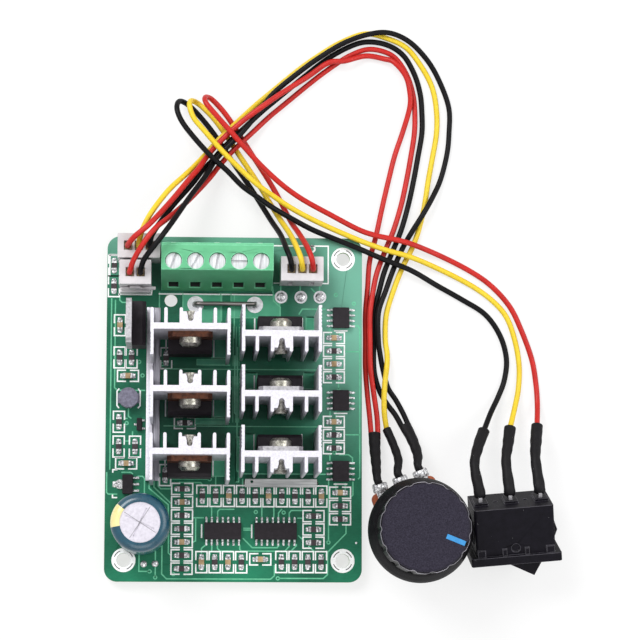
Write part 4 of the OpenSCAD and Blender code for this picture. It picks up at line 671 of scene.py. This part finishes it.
# %% The knob: a matt purple grey top on a darker skirt
CAP_FROM = 26.6
tree, shader, place = start_material("knob_grey", gloss=0.12)
cloud = use_group(tree, clouding, place, 330.0, 1.6)
grain = use_group(tree, clouding, place, 3800.0, 3.0)
lint = use_group(tree, specks, place, 650.0, 0.035)
top = rising(tree, axes_of(tree, place)["Z"], CAP_FROM - 0.2, CAP_FROM)
skirt = mixed(tree, cloud, (10, 9, 11), (24, 23, 26))
face = mixed(tree, lint, mixed(tree, grain, (28, 25, 36), (52, 49, 62)), (110, 106, 120))
complete(tree, shader, mixed(tree, top, skirt, face), ranged(tree, top, 0.36, 0.66), grain, 0.35)
print("cap finish from", CAP_FROM, "mm up")

# %% The capacitor's sleeve: dark teal with a cream stripe over an arc
CAN_AT, STRIPE_TURN, STRIPE_HALF = (4.0, 7.9), math.radians(165.5), math.radians(24.5)
tree, shader, place = start_material("sleeve_teal", coat=0.25, coat_roughness=0.12)
axes = axes_of(tree, place)
off_axis = put(tree, "ShaderNodeCombineXYZ", [(calc(tree, "SUBTRACT", axes["X"], CAN_AT[0] * MM), "X"),
                                              (calc(tree, "SUBTRACT", axes["Y"], CAN_AT[1] * MM), "Y")])
turned = put(tree, "ShaderNodeVectorRotate", [(off_axis.outputs[0], "Vector")], rotation_type="Z_AXIS",
             Angle=-STRIPE_TURN)
around = axes_of(tree, turned.outputs[0])
off = calc(tree, "ABSOLUTE", calc(tree, "ARCTAN2", around["Y"], around["X"]))
stripe = calc(tree, "LESS_THAN", off, STRIPE_HALF)
print_mask = use_group(tree, clouding, place, 500.0, 1.5)
teal = mixed(tree, print_mask, (0, 52, 68), (4, 76, 98))
cream = mixed(tree, print_mask, (216, 204, 134), (240, 230, 168))
complete(tree, shader, mixed(tree, stripe, teal, cream), ranged(tree, print_mask, 0.22, 0.36))
print("finishes:", len(FINISHES))

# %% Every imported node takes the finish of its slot
for name, node in frame["nodes"].items():
    node.data.materials.clear()
    node.data.materials.append(FINISHES[slot_of[name]])
print("nodes with a finish:", len(frame["nodes"]))

# %% [markdown]
# ## Soft edges
# Moulded and drawn parts never have knife edges: a small round catches a line of light along every corner
# and makes a part look solid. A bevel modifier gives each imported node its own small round, after a weld
# that joins the split corners of the import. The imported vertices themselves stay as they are.

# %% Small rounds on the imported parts
EDGE_ANGLE, WELD_REACH = math.radians(40), 0.000001
PLUG_ROUND, SINK_ROUND = 0.1, 0.045
ROUNDS = {"terminal_block_housing": 0.14, "switch_housing": 0.12, "switch_rocker": 0.3, "power_bodies": 0.14,
          "chip_bodies": 0.06, "pot_cover": 0.12, "knob": 0.12, "circuit_board": 0.08}
for name in slot_of:
    if name.startswith(("header_", "plug_")) and name != "header_pins":
        ROUNDS[name] = PLUG_ROUND
    if name.startswith("heatsink_") and name != "heatsink_screws":
        ROUNDS[name] = SINK_ROUND
# painted highlights: the rounds of the switch and the terminal block take a lighter finish, a line of light
# painted along each edge
plain_finish("switch_edge_highlight", (42, 41, 46), (82, 80, 87), (0.4, 0.6), gloss=0.2)
plain_finish("terminal_edge_highlight", (104, 196, 148), (140, 222, 178), (0.34, 0.5))
EDGE_HIGHLIGHTS = {"switch_housing": "switch_edge_highlight", "switch_rocker": "switch_edge_highlight",
              "terminal_block_housing": "terminal_edge_highlight"}
for name, radius in ROUNDS.items():
    node = frame["nodes"][name]
    node.modifiers.new("weld", "WELD").merge_threshold = WELD_REACH
    bevel = node.modifiers.new("edge_round", "BEVEL")
    bevel.width, bevel.segments, bevel.limit_method = radius * MM, 2, "ANGLE"
    bevel.angle_limit = EDGE_ANGLE
    bevel.use_clamp_overlap, bevel.harden_normals = name != "switch_housing", True
    if name in EDGE_HIGHLIGHTS:
        node.data.materials.append(FINISHES[EDGE_HIGHLIGHTS[name]])
        bevel.material = 1
print("rounded nodes:", len(ROUNDS))

# %% [markdown]
# ## Ink and tracks
# White ink is screen printed over the lacquer: a pair of square brackets round each small part, an outline
# at each plug, and a line beside each chip. The tracks are copper under the lacquer; their edges show as
# pale green lines with chamfered corners. Both are thin ribbons: an edge extruded from corner to corner
# with mitred turns, and then raised by a few hundredths of a millimetre.

# %% A mitred ribbon, and thin closed plates from ribbons
SHARPEST_MITRE = 0.4


def ribbon(bm, points, width):
    """A flat strip along x, y points in millimetres, with mitred corners."""
    line = [Vector(p).to_2d() for p in points]
    for k, point in enumerate(line):
        before = (point - line[k - 1]).normalized() if k else (line[1] - point).normalized()
        after = (line[k + 1] - point).normalized() if k + 1 < len(line) else before
        across = Vector((-(before + after).y, (before + after).x)).normalized()
        reach = width / 2 / max(SHARPEST_MITRE, across.dot(Vector((-before.y, before.x))))
        ends = [(point + across * reach * s).to_3d() * MM for s in (-1, 1)]
        if k == 0:
            edge = bm.edges.new([bm.verts.new(p) for p in ends])
            continue
        made = bmesh.ops.extrude_edge_only(bm, edges=[edge])["geom"]
        old = list(edge.verts)
        edge = next(g for g in made if isinstance(g, bmesh.types.BMEdge) and not set(g.verts) & set(old))
        pairs = {v: next(o for e in v.link_edges for o in [e.other_vert(v)] if o in old) for v in edge.verts}
        for v in edge.verts:
            v.co = ends[old.index(pairs[v])]


def corners(row):
    """A row of x, y, x, y as points."""
    return list(zip(row[::2], row[1::2]))


def spin_line(bm, centre, line, steps, start=0.0, sweep=360.0):
    """Spins a line of (radius, height) points in millimetres about an upright axis."""
    turn = Matrix.Rotation(math.radians(start), 3, "Z")
    verts = [bm.verts.new(centre + turn @ Vector((r, 0, h)) * MM) for r, h in line]
    edges = [bm.edges.new(pair) for pair in zip(verts, verts[1:])]
    bmesh.ops.spin(bm, geom=verts + edges, cent=centre, axis=(0, 0, 1), angle=math.radians(sweep),
                   steps=steps, use_merge=sweep == 360.0)


def annulus(bm, at, inner, outer, steps=32, **arc):
    """A flat ring, or an arc of one."""
    spin_line(bm, Vector((*at, 0)) * MM, [(inner, 0), (outer, 0)], steps, **arc)


def add_plates(bm, name, finish, z, thickness):
    """Flat faces become a piece of closed plates, from height z up."""
    bmesh.ops.translate(bm, verts=bm.verts[:], vec=(0, 0, z * MM))
    made = bmesh.ops.extrude_face_region(bm, geom=bm.faces[:])["geom"]
    bmesh.ops.translate(bm, verts=[g for g in made if isinstance(g, bmesh.types.BMVert)],
                        vec=(0, 0, thickness * MM))
    add_mesh(bm, name, finish)


plain_finish("track_green", (70, 160, 120), (110, 198, 158), (0.3, 0.45), coat=0.3)
plain_finish("ink_white", (228, 233, 230), (254, 254, 254), (0.5, 0.7), scale=1800.0, contrast=2.0, bump=0.3)
print("ribbon helpers ready")

# %% Tracks, as rows of x, y, x, y, and small through contacts
TRACK_W, TRACK_T, VIA_IN, VIA_OUT = 0.3, 0.03, 0.24, 0.5
TRACKS = [[-4.1, 20.4, -4.1, 15.7, -3.7, 15.3, -1.6, 15.3], [3.1, 19.5, 4.2, 19.5, 4.7, 19, 4.7, 15.6],
    [-0.7, 20.4, 1.5, 20.4, 2, 20], [5.8, 22.5, 5.8, 16.7, 10.3, 12.9, 10.3, 7.1],
    [6.9, 22.5, 6.9, 17, 10.9, 13.2], [7.9, 22.5, 7.9, 17.2, 8.5, 16.6, 11, 16.6],
    [3.6, 2.2, 3.6, -2.6, 5.9, -2.6], [7.4, 3, 7.4, -3.8],
    [8.9, 3.9, 8.9, -3.2, 10, -4.3, 31.4, -4.3, 34.2, -4.3, 35.1, -3.5, 35.1, -1],
    [10.4, 7.1, 10.4, 1.7, 10.9, 1.2], [16, 9.9, 18.6, 9.9], [16.7, 9.9, 16.7, 4.5, 16, 4.2],
    [12.7, 18.1, 17.8, 18.1, 18.2, 17.6, 18.2, 16.9], [10.7, 18.9, 19.7, 18.9], [21.3, 19.7, 21.3, 17],
    [20.4, 12.6, 20.4, 10], [21.8, 10, 21.8, 11.4, 22.3, 11.9, 25.7, 11.9],
    [20.5, 3.6, 20.5, 2.3, 20.1, 1.8, 20.1, 1.2], [21.8, 3.6, 21.8, 2.8, 22.4, 2.2, 25.3, 2.2, 26, 1.6],
    [19.1, 3.6, 18.1, 2.8, 18.1, 1.6], [36.3, -4.1, 46.5, -4.1, 47.5, -3.2, 47.5, 2, 51.8, 6.4, 51.8, 8.3],
    [47.7, 18.9, 47.7, 4.7], [53, 15, 53.4, 15.4, 53.4, 18.5],
    [54.6, 19.1, 55, 19.5, 55, 54.5, 54.6, 55.2, 53.7, 55.2], [51.6, 29.5, 55, 29.5],
    [51.6, 49.1, 55, 49.1], [48, 23.4, 48, 24.9, 48.9, 25.3],
    [50.1, 24.8, 52.4, 24.8, 53.3, 24.1, 53.3, 23], [27.8, 7.5, 29.8, 7.5], [27.8, 7.1, 29.8, 7.1],
    [27.7, 5.2, 29.9, 3, 35.7, 3, 36.1, 3.5, 36.1, 4.2],
    [27, 3.7, 27, 2.6, 27.4, 2.2, 37.5, 2.2, 38.5, 3.3, 38.5, 3.9], [40.2, 3.9, 40.2, 3.5, 38.9, 2.2],
    [32.1, 12.8, 32.1, 10], [34.9, 12.8, 34.9, 10], [36, 10, 36, 11.1, 36.8, 12],
    [38.5, 10, 38.5, 11.1, 39, 11.7, 42.4, 11.7], [40.4, 9.9, 42, 9.9], [40.6, 5.9, 41.9, 4.7],
    [43, 3.4, 44.7, 1.9], [27.6, 19, 27.6, 17], [43, 18, 43, 17], [49.4, 18.2, 49.4, 15.6],
    [51.6, 18.2, 51.6, 15.6], [36.3, 64.8, 36.3, 62.9], [40.9, 64.8, 40.9, 62.9], [45.5, 64.8, 45.5, 62.9],
    [43.4, 64.1, 44.8, 62.7], [34.4, 64.5, 34.6, 61, 36.2, 59.5, 36.2, 56],
    [40.6, 57.8, 41.4, 59.1, 47, 59.1], [48, 54.6, 48, 53], [50.2, 54.6, 50.2, 53], [50, 42.4, 50, 40],
    [48, 35, 48, 33.3], [49.4, 35, 49.4, 33.3], [17.4, 45.7, 24.5, 45.7], [17.5, 32.3, 24.5, 32.3],
    [25.4, 62.6, 25.4, 52], [22.4, 62.6, 22.4, 56], [-2.5, 60.9, -2.5, 40.2, -1.8, 39.6, 4.7, 39.6],
    [-1.5, 61.5, -1.5, 60.8, -0.9, 60.3, 0.4, 60.3], [-3.4, 61.3, -3.4, 21],
    [0.8, 35.4, 0.8, 33.5, 1.5, 33], [-0.3, 33, 0.6, 33], [1.8, 30, 1.8, 28.6], [7.8, 62.9, 7.8, 57],
    [0, 27.7, 1.4, 27.7], [26.2, 50, 26.2, 21, 27, 20.2, 47, 20.2], [25.6, 48, 25.6, 34.5, 26, 34]]
VIAS = [(6.1, -2.6), (7.4, -4), (11.6, -3.2), (19.9, 18.9), (30.7, 11.3), (37.2, 11.2), (47.7, 4.3),
    (35.9, -4.1), (49.1, 25.3), (50, 40), (0.4, 31.9), (3.2, 46.3), (4, 43.1), (8.6, 45.8), (53.6, 60.5),
    (49.3, 62.5), (12.6, 20.6), (24.4, 24.8), (24.4, 40.2)]
bm = bmesh.new()
for row in TRACKS:
    ribbon(bm, corners(row), TRACK_W)
for at in VIAS:
    annulus(bm, at, VIA_IN, VIA_OUT, steps=12)
add_plates(bm, "board_tracks", "track_green", BOARD_TOP, TRACK_T)
print("tracks:", len(TRACKS), "vias:", len(VIAS))

# %% Places of the small parts, as rows and stacks
ROW_PITCH, LEAD_PITCH = 3.09, 1.27


def row_of(at, turn, count):
    """Upright parts run along X in a row, level parts run down in a stack."""
    return [(at[0] + (ROW_PITCH * i if turn else 0), at[1] - (0 if turn else ROW_PITCH * i), turn)
            for i in range(count)]


passives = (row_of((18.2, 15), 90, 10) + row_of((13.5, 16.6), 0, 7) + row_of((44.2, 10.4), 0, 3)
            + row_of((50.4, 15.9), 0, 3) + row_of((18.1, -0.4), 90, 4) + row_of((36.7, -0.3), 90, 4)
            + row_of((48.9, 52.3), 0, 4) + row_of((48.9, 32.5), 0, 3))
passives += [(31.8, 0.3, 0), (-1.4, 54.9, 90), (-1.4, 47.3, 90), (1.4, 47.3, 90), (0.6, 43, 0),
    (-1.4, 32.2, 90), (-1.4, 26.4, 90), (2.4, 26.4, 90), (0.4, 22.5, 0), (-2.9, 69, 90), (-2.9, 64.1, 90),
    (9.5, 47.2, 90), (14, 32, 0), (9.5, 19.8, 90)]
# x, y, turn, leads on one side
chips = [(23, 6.8, 0, 7), (35.3, 6.8, 0, 8), (50.5, 57, 90, 4), (50.5, 37.5, 90, 4), (50.5, 20.9, 90, 4)]
print("small parts:", len(passives), "chips:", len(chips))

# %% White ink: brackets, outlines, rings and marks
INK_W, INK_T = 0.32, 0.04
BRACKET_L, BRACKET_W, BRACKET_GAP = 2.45, 1.3, 0.45
CHIP_LINE_AT, CHIP_LINE_PAST = 1.6, 0.45
POLES_X, DASH_Y, DASH_HALF, DASH_W = (11.0, 16.1, 21.2, 26.3, 31.4), 74.5, 0.6, 0.45
SINK_HALF, SINK_LOW, SINK_HIGH = 5.6, 3.2, 2.4
HOLES, RING_IN, RING_OUT = [(0, 0), (51, 0), (51, 71)], 1.62, 2.8
DOT_AT, DOT_IN, DOT_OUT = (43.6, 73.4), 0.5, 0.95
SLOT_IN, SLOT_OUT, SLOT_SWEEP, SLOT_T = 2.12, 2.32, 50, 0.01
bm = bmesh.new()
for x, y, turn in passives:
    for flip in (-1, 1):
        bracket = [(flip * BRACKET_GAP, BRACKET_W), (flip * BRACKET_L, BRACKET_W),
                   (flip * BRACKET_L, -BRACKET_W), (flip * BRACKET_GAP, -BRACKET_W)]
        ribbon(bm, [spun((x, y), p, turn) for p in bracket], INK_W)
for x, y, turn, leads in chips:
    end = -leads * LEAD_PITCH / 2 - CHIP_LINE_PAST
    ribbon(bm, [spun((x, y), (end, s * CHIP_LINE_AT), turn) for s in (-1, 1)], INK_W)
for x in POLES_X:
    ribbon(bm, [(x - DASH_HALF, DASH_Y), (x + DASH_HALF, DASH_Y)], DASH_W)
OUTLINES = [[34.6, 74.1, 47.5, 74.1, 47.5, 65.2, 34.6, 65.2], [-1.9, 62.2, 5.9, 62.2, 6.1, 64.2],
    [7.6, 62.4, 34.4, 62.4], [-1.4, 40.0, -1.9, 39.4, -1.9, 36, -1.4, 35.4],
    [3, 40.0, 3.5, 39.4, 3.5, 36, 3, 35.4], [-2.7, 20.3, -2.7, 21, -1.6, 21],
    [-2.7, 15.2, -2.7, 14.5, -1.6, 14.5], [-3.9, 66.5, -3.9, 71.6, -1.9, 71.6]]
for row in OUTLINES:
    ribbon(bm, corners(row), INK_W)
# a bracket at each heatsink: x, the way it opens, y of the three in the column
for x, s, ys in ((15.05, -1, (49.9, 35.9, 21.8)), (35.8, 1, (54.6, 40.9, 27.2))):
    for y in ys:
        low, high = y - SINK_LOW * s, y + SINK_HIGH * s
        ribbon(bm, [(x - SINK_HALF, high), (x - SINK_HALF, low), (x + SINK_HALF, low), (x + SINK_HALF, high)],
               INK_W)
for at in HOLES:
    annulus(bm, at, RING_IN, RING_OUT)
annulus(bm, DOT_AT, DOT_IN, DOT_OUT, steps=20)
add_plates(bm, "board_ink", "ink_white", BOARD_TOP, INK_T)

bm = bmesh.new()
for at in HOLES:
    for turn in (45, 135, 225, 315):
        annulus(bm, at, SLOT_IN, SLOT_OUT, start=turn - SLOT_SWEEP / 2, sweep=SLOT_SWEEP, steps=6)
add_plates(bm, "ring_slots", "resistor_black", BOARD_TOP + INK_T, SLOT_T)
print("ink:", len(passives) * 2, "brackets")

# %% [markdown]
# ## Solder
# Every joint is tinned. Under each small part the solder runs out over its pad as a little pillow, each
# chip leg stands in a bead, and wire ends and test pads carry round domes. The pillows are bevelled cubes
# with their tops drawn in; the domes are spun from a short profile.

# %% Functions for solder pillows and domes
DOME_PROFILE, DOME_STEPS = [(1.0, 0.0), (0.93, 0.3), (0.72, 0.68), (0.4, 0.92), (0.0, 1.0)], 20
PILLOW_TOP, PILLOW_ROUND = 0.72, 0.2


def round_edges(bm, edges, width):
    """A small round, with its width in millimetres, along edges."""
    bmesh.ops.bevel(bm, geom=edges, offset=width * MM, segments=2, profile=0.5, affect="EDGES", material=-1)


def pillow(bm, at, turn, long, wide, high, floor=BOARD_TOP):
    """A small cushion of solder, standing on the board or at another height."""
    cube = bmesh.ops.create_cube(bm, size=1.0)["verts"]
    bmesh.ops.scale(bm, verts=[v for v in cube if v.co.z > 0], vec=(PILLOW_TOP, PILLOW_TOP, 1.0))
    bmesh.ops.transform(bm, verts=cube, matrix=Matrix.Translation(Vector((*at, floor)) * MM)
                        @ Matrix.Rotation(math.radians(turn), 4, "Z")
                        @ Matrix.Diagonal((long * MM, wide * MM, 2 * high * MM, 1)))
    round_edges(bm, [e for e in {e for v in cube for e in v.link_edges}
                     if abs(e.verts[0].co.z - e.verts[1].co.z) > high * MM
                     or all(v.co.z > floor * MM for v in e.verts)], min(long, wide) * PILLOW_ROUND)


def dome(bm, at, radius, high):
    """A round bead of solder, at x, y, z, spun from a profile."""
    centre = Vector(at) * MM
    spin_line(bm, centre, [(r * radius, h * high) for r, h in DOME_PROFILE], DOME_STEPS)
    near = [v for v in bm.verts if (v.co - centre).length < 1.6 * radius * MM]
    bmesh.ops.remove_doubles(bm, verts=near, dist=WELD_REACH)
    rim = [e for e in bm.edges if e.is_boundary
           and all(abs((v.co - centre).to_2d().length - radius * MM) < 2 * WELD_REACH for v in e.verts)]
    bmesh.ops.contextual_create(bm, geom=rim)


print("dome profile:", len(DOME_PROFILE), "points")

# %% Solder at the small parts and the chips
# the end of a small part and the foot of a chip's leg: how far out, then length, width and height
PAD, FOOT = (1.52, 0.8, 1.3, 0.3), (3.02, 0.62, 0.8, 0.24)
bm = bmesh.new()
for x, y, turn in passives:
    for s in (-1, 1):
        pillow(bm, spun((x, y), (s * PAD[0], 0), turn), turn, *PAD[1:])
for x, y, turn, leads in chips:
    for k in range(leads):
        for s in (-1, 1):
            foot = spun((x, y), ((k - (leads - 1) / 2) * LEAD_PITCH, s * FOOT[0]), turn)
            pillow(bm, foot, turn, *FOOT[1:])
# x, y, length, width and height of the pads under the tabbed regulator and the choke
WIDE_PADS = [(-2.1, 17.6, 1.5, 1.7, 0.3), (3.1, 17.6, 1.0, 0.8, 0.3), (3.1, 19.1, 1.0, 0.8, 0.3),
    (3.1, 16.1, 1.0, 0.8, 0.3), (0.8, 35.8, 1.8, 0.9, 0.35), (0.8, 39.6, 1.8, 0.9, 0.35)]
for x, y, *pad in WIDE_PADS:
    pillow(bm, (x, y), 0, *pad)
add_mesh(bm, "solder_pillows", "solder_tin", angle=60)
print("pillows:", 2 * (len(passives) + sum(chip[3] for chip in chips)) + len(WIDE_PADS))

# %% Domes on the board and on the lugs of the speed control
# x, y, radius and height of the beads on the board
BEADS = [(16.3, 60, 0.85, 0.4), (30.2, 60, 0.85, 0.4), (36.4, 61.9, 1.15, 0.4), (41.05, 61.9, 1.15, 0.4),
         (45.55, 61.95, 1.15, 0.4), (4.7, -0.9, 0.8, 0.45), (7.35, -0.8, 0.8, 0.45), (54.2, 4.2, 0.3, 0.15)]
LUG_TOP, LUG_BACK, LUG_FAN = 6.05, -1.0, 7
LUG_PILLOW, LUG_DOME, DOME_LIFT = (3.6, 2.3, 0.5), (1.1, 0.5), 0.35
bm = bmesh.new()
for x, y, radius, high in BEADS:
    dome(bm, (x, y, BOARD_TOP), radius, high)
for k in (-1, 0, 1):
    at = lug_point(k, LUG_BACK)[:2]
    pillow(bm, at, LUG_ANGLE - 90 + LUG_FAN * k, *LUG_PILLOW, floor=LUG_TOP)
    dome(bm, at + (LUG_TOP + DOME_LIFT,), *LUG_DOME)
add_mesh(bm, "solder_domes", "solder_tin", angle=60)
print("domes:", len(BEADS) + 3)

# %% [markdown]
# ## Small finishing details
# The capacitor's lid has a pressed cross that lets it vent, drawn as a line of painted shade; the knob's
# fluted rim carries a pale line, partly rubbed wear and partly a painted highlight; the two wire plug stands
# in front of a stepped wall with a locating peg, and a brushed aluminium angle runs along the left row of
# heatsinks, standing on the board.

# %% The capacitor's vent cross, a flat line of painted shade for its pressed groove
CAN_TOP, VENT_REACH, VENT_TURN, VENT_W, VENT_T = 22.4, 4.2, 57.0, 0.14, 0.015
plain_finish("vent_groove_shade", (120, 118, 124), (164, 162, 168), (0.5, 0.7))
bm = bmesh.new()
for turn in (VENT_TURN, VENT_TURN + 90):
    ribbon(bm, [spun(CAN_AT, (s * VENT_REACH, 0), turn) for s in (-1, 1)], VENT_W)
add_plates(bm, "vent_cross", "vent_groove_shade", CAN_TOP, VENT_T)
print("vent cross at", CAN_TOP, "mm")

# %% The knob's rim line, partly rubbed wear and partly a painted highlight, which follows the cap in and out of its flutes
plain_finish("rim_wear_and_highlight", (40, 38, 43), (178, 174, 184), (0.5, 0.7), scale=260.0, contrast=2.6)
FLUTES, FLUTE_AT, FLUTE_R, FLUTE_STEPS = 15, 10.95, 1.0, 14
CAP_SIDE, CAP_FACE, KNOB_TOP, POINTER_TURN, RIM_LINE_R = 10.3, 9.5, 27.0, -22.0, 0.07
curve = bpy.data.curves.new("rim_wear_and_highlight_line", "CURVE")
curve.dimensions, curve.bevel_depth, curve.bevel_resolution = "3D", RIM_LINE_R * MM, 1
spline = curve.splines.new("POLY")
spline.use_cyclic_u = True
spline.points.add(FLUTES * FLUTE_STEPS - 1)
for k, knot in enumerate(spline.points):
    turn = 360.0 * k / len(spline.points)
    off = math.radians((turn + 180 / FLUTES) % (360 / FLUTES) - 180 / FLUTES)
    inside = FLUTE_R ** 2 - (FLUTE_AT * math.sin(off)) ** 2
    reach = min(CAP_SIDE, FLUTE_AT * math.cos(off) - math.sqrt(inside)) if inside > 0 else CAP_SIDE
    x, y = spun(POT_AT, (reach, 0), turn + POINTER_TURN + 180 / FLUTES)
    knot.co = (x * MM, y * MM, (KNOB_TOP - reach + CAP_FACE) * MM, 1)
add_piece(bpy.data.objects.new("rim_wear_and_highlight_line", curve), "rim_wear_and_highlight", "knob")
print("rim points:", len(spline.points))


# %% The plug's stepped wall and its peg
def block(bm, low, high):
    """A box between two corners in millimetres."""
    low, high = Vector(low), Vector(high)
    place = Matrix.Translation((low + high) / 2 * MM) @ Matrix.Diagonal(((high - low) * MM).to_4d())
    bmesh.ops.transform(bm, matrix=place, verts=bmesh.ops.create_cube(bm, size=1.0)["verts"])


EDGE_ROUND, WALL_Y = 0.12, 63.38
WALL_STEPS = [((-1.4, 62.3, 1.65), (5.7, WALL_Y, 5.2)), ((-1.2, 62.75, 5.1), (5.6, WALL_Y, 7.1)),
              ((0.9, 62.8, 7.05), (3.3, WALL_Y, 8.6))]
PEG_AT, PEG_R, PEG_LENGTH = (5.6, 63.05, 7.1), 0.42, 2.6
bm = bmesh.new()
for low, high in WALL_STEPS:
    block(bm, low, high)
round_edges(bm, bm.edges[:], EDGE_ROUND)
peg_turn = Matrix.Translation(Vector(PEG_AT) * MM) @ Matrix.Rotation(math.radians(90), 4, "Y")
peg = bmesh.ops.create_cone(bm, cap_ends=True, segments=20, radius1=PEG_R * MM, radius2=PEG_R * MM,
                            depth=PEG_LENGTH * MM, matrix=peg_turn)["verts"]
round_edges(bm, [e for e in {e for v in peg for e in v.link_edges}
                 if len({round(v.co.x, 6) for v in e.verts}) == 1], EDGE_ROUND)
add_mesh(bm, "header_ledge", "nylon_white", angle=40)
print("wall steps:", len(WALL_STEPS))

# %% The aluminium angle and the bridge wire
BAR_Y, BAR_CUTS, FOLD = (18.4, 59.1), 30, math.radians(60)
# name: finish, x from and to, height of its top
BARS = {"side_angle_rib": ("heatsink_aluminium", 4.9, 6.4, 3.1),
        "side_angle_foot": ("brushed_grey", 6.4, 8.1, 2.2)}
plain_finish("brushed_grey", (126, 124, 132), (190, 188, 198), (0.3, 0.5), contrast=2.4,
             stretch=(3400.0, 90.0, 800.0), metallic=0.6, bump=0.3)
for name, (finish, left, right, top) in BARS.items():
    bm = bmesh.new()
    block(bm, (left, BAR_Y[0], BOARD_TOP), (right, BAR_Y[1], top))
    bmesh.ops.subdivide_edges(bm, edges=[e for e in bm.edges if abs(e.verts[0].co.y - e.verts[1].co.y) > MM],
                              cuts=BAR_CUTS)
    round_edges(bm, [e for e in bm.edges if e.calc_face_angle(0) > FOLD], EDGE_ROUND)
    add_mesh(bm, name, finish, angle=40)

JUMPER_Z, JUMPER_R, JUMPER_Y = 3.2, 0.52, 60.0
bridge = [(16.3, 1.0), (16.3, 2.2), (16.6, 2.95), (17.4, JUMPER_Z), (20, JUMPER_Z), (26.5, JUMPER_Z),
          (29.1, JUMPER_Z), (29.9, 2.95), (30.2, 2.2), (30.2, 1.0)]
smooth_bar("jumper_bridge", [(x, JUMPER_Y, z) for x, z in bridge], JUMPER_R, "bare_wire", "jumper_wire")
print("angle length:", round(BAR_Y[1] - BAR_Y[0], 1), "mm")

# %% Bright pads: wide discs at the bridge wire, rings round the three test points
plain_finish("pad_white", (206, 204, 210), (250, 250, 252), (0.4, 0.6), scale=1600.0, contrast=2.4,
             metallic=0.2, bump=0.3)
WIRE_PAD, TEST_PAD, PAD_T, PADDED = (0.6, 1.95), (1.0, 1.5), 0.05, BEADS[:5]
bm = bmesh.new()
for k, bead in enumerate(PADDED):
    annulus(bm, bead[:2], *(WIRE_PAD if k < 2 else TEST_PAD))
add_plates(bm, "bright_pads", "pad_white", BOARD_TOP + TRACK_T, PAD_T)
print("bright pads:", len(PADDED))

# %% Wide copper under the lacquer, as pale green patches with a lighter edge
POURS = [[13.3, 62.7, 22.2, 62.7, 22.2, 54.9, 13.3, 54.9],
    [24.6, 62.7, 34.5, 62.7, 36.1, 60.7, 36.1, 56.9, 24.6, 56.9],
    [20.1, 54.4, 23.5, 54.4, 23.5, 47.4, 20.1, 47.4], [23.5, 47, 23.5, 45.7, 16.7, 45.7, 16.7, 47],
    [20.2, 38.6, 23.5, 38.6, 23.5, 33.5, 20.2, 33.5], [23.5, 33.1, 23.5, 31.8, 16.5, 31.8, 16.5, 33.1],
    [20.1, 24.6, 23.5, 24.6, 23.5, 19.6, 20.1, 19.6], [27.1, 43.9, 30.8, 43.9, 30.8, 40.1, 27.1, 40.1],
    [27.4, 29.5, 30.4, 29.5, 30.4, 25.6, 27.4, 25.6], [42.3, 57.2, 45.3, 57.2, 45.3, 54.2, 42.3, 54.2],
    [41.8, 44, 45.3, 44, 45.3, 40.3, 41.8, 40.3]]
POUR_T, POUR_EDGE_LIFT, POUR_EDGE_W, THIN_LINE_W = 0.02, 0.015, 0.22, 0.16
CROSS_LINES = [[9, y, 45.6, y] for y in (44.7, 31.3)]
OPEN_PATCH = [26, 28.8, 26, 18.3, 26.7, 18.3, 26.7, 28.8]
THIN_LINES = [[x, low, x, high] for x in (25.2, 25.9, 26.6) for low, high in ((45.5, 54.8), (32.2, 43.1))]
plain_finish("pour_green", (58, 146, 112), (92, 176, 140), (0.36, 0.5), scale=140.0, contrast=2.2, gloss=0.25)
bm = bmesh.new()
for row in POURS:
    bmesh.ops.contextual_create(bm, geom=[bm.verts.new(Vector((x, y, 0)) * MM) for x, y in corners(row)])
bmesh.ops.recalc_face_normals(bm, faces=bm.faces[:])
add_plates(bm, "copper_pours", "pour_green", BOARD_TOP, POUR_T)
bm = bmesh.new()
for row in POURS + [OPEN_PATCH]:
    ribbon(bm, corners(row + row[:4]), POUR_EDGE_W)
for row in CROSS_LINES:
    ribbon(bm, corners(row), POUR_EDGE_W)
for row in THIN_LINES:
    ribbon(bm, corners(row), THIN_LINE_W)
add_plates(bm, "pour_edges", "track_green", BOARD_TOP + POUR_EDGE_LIFT, TRACK_T)
print("copper patches:", len(POURS))
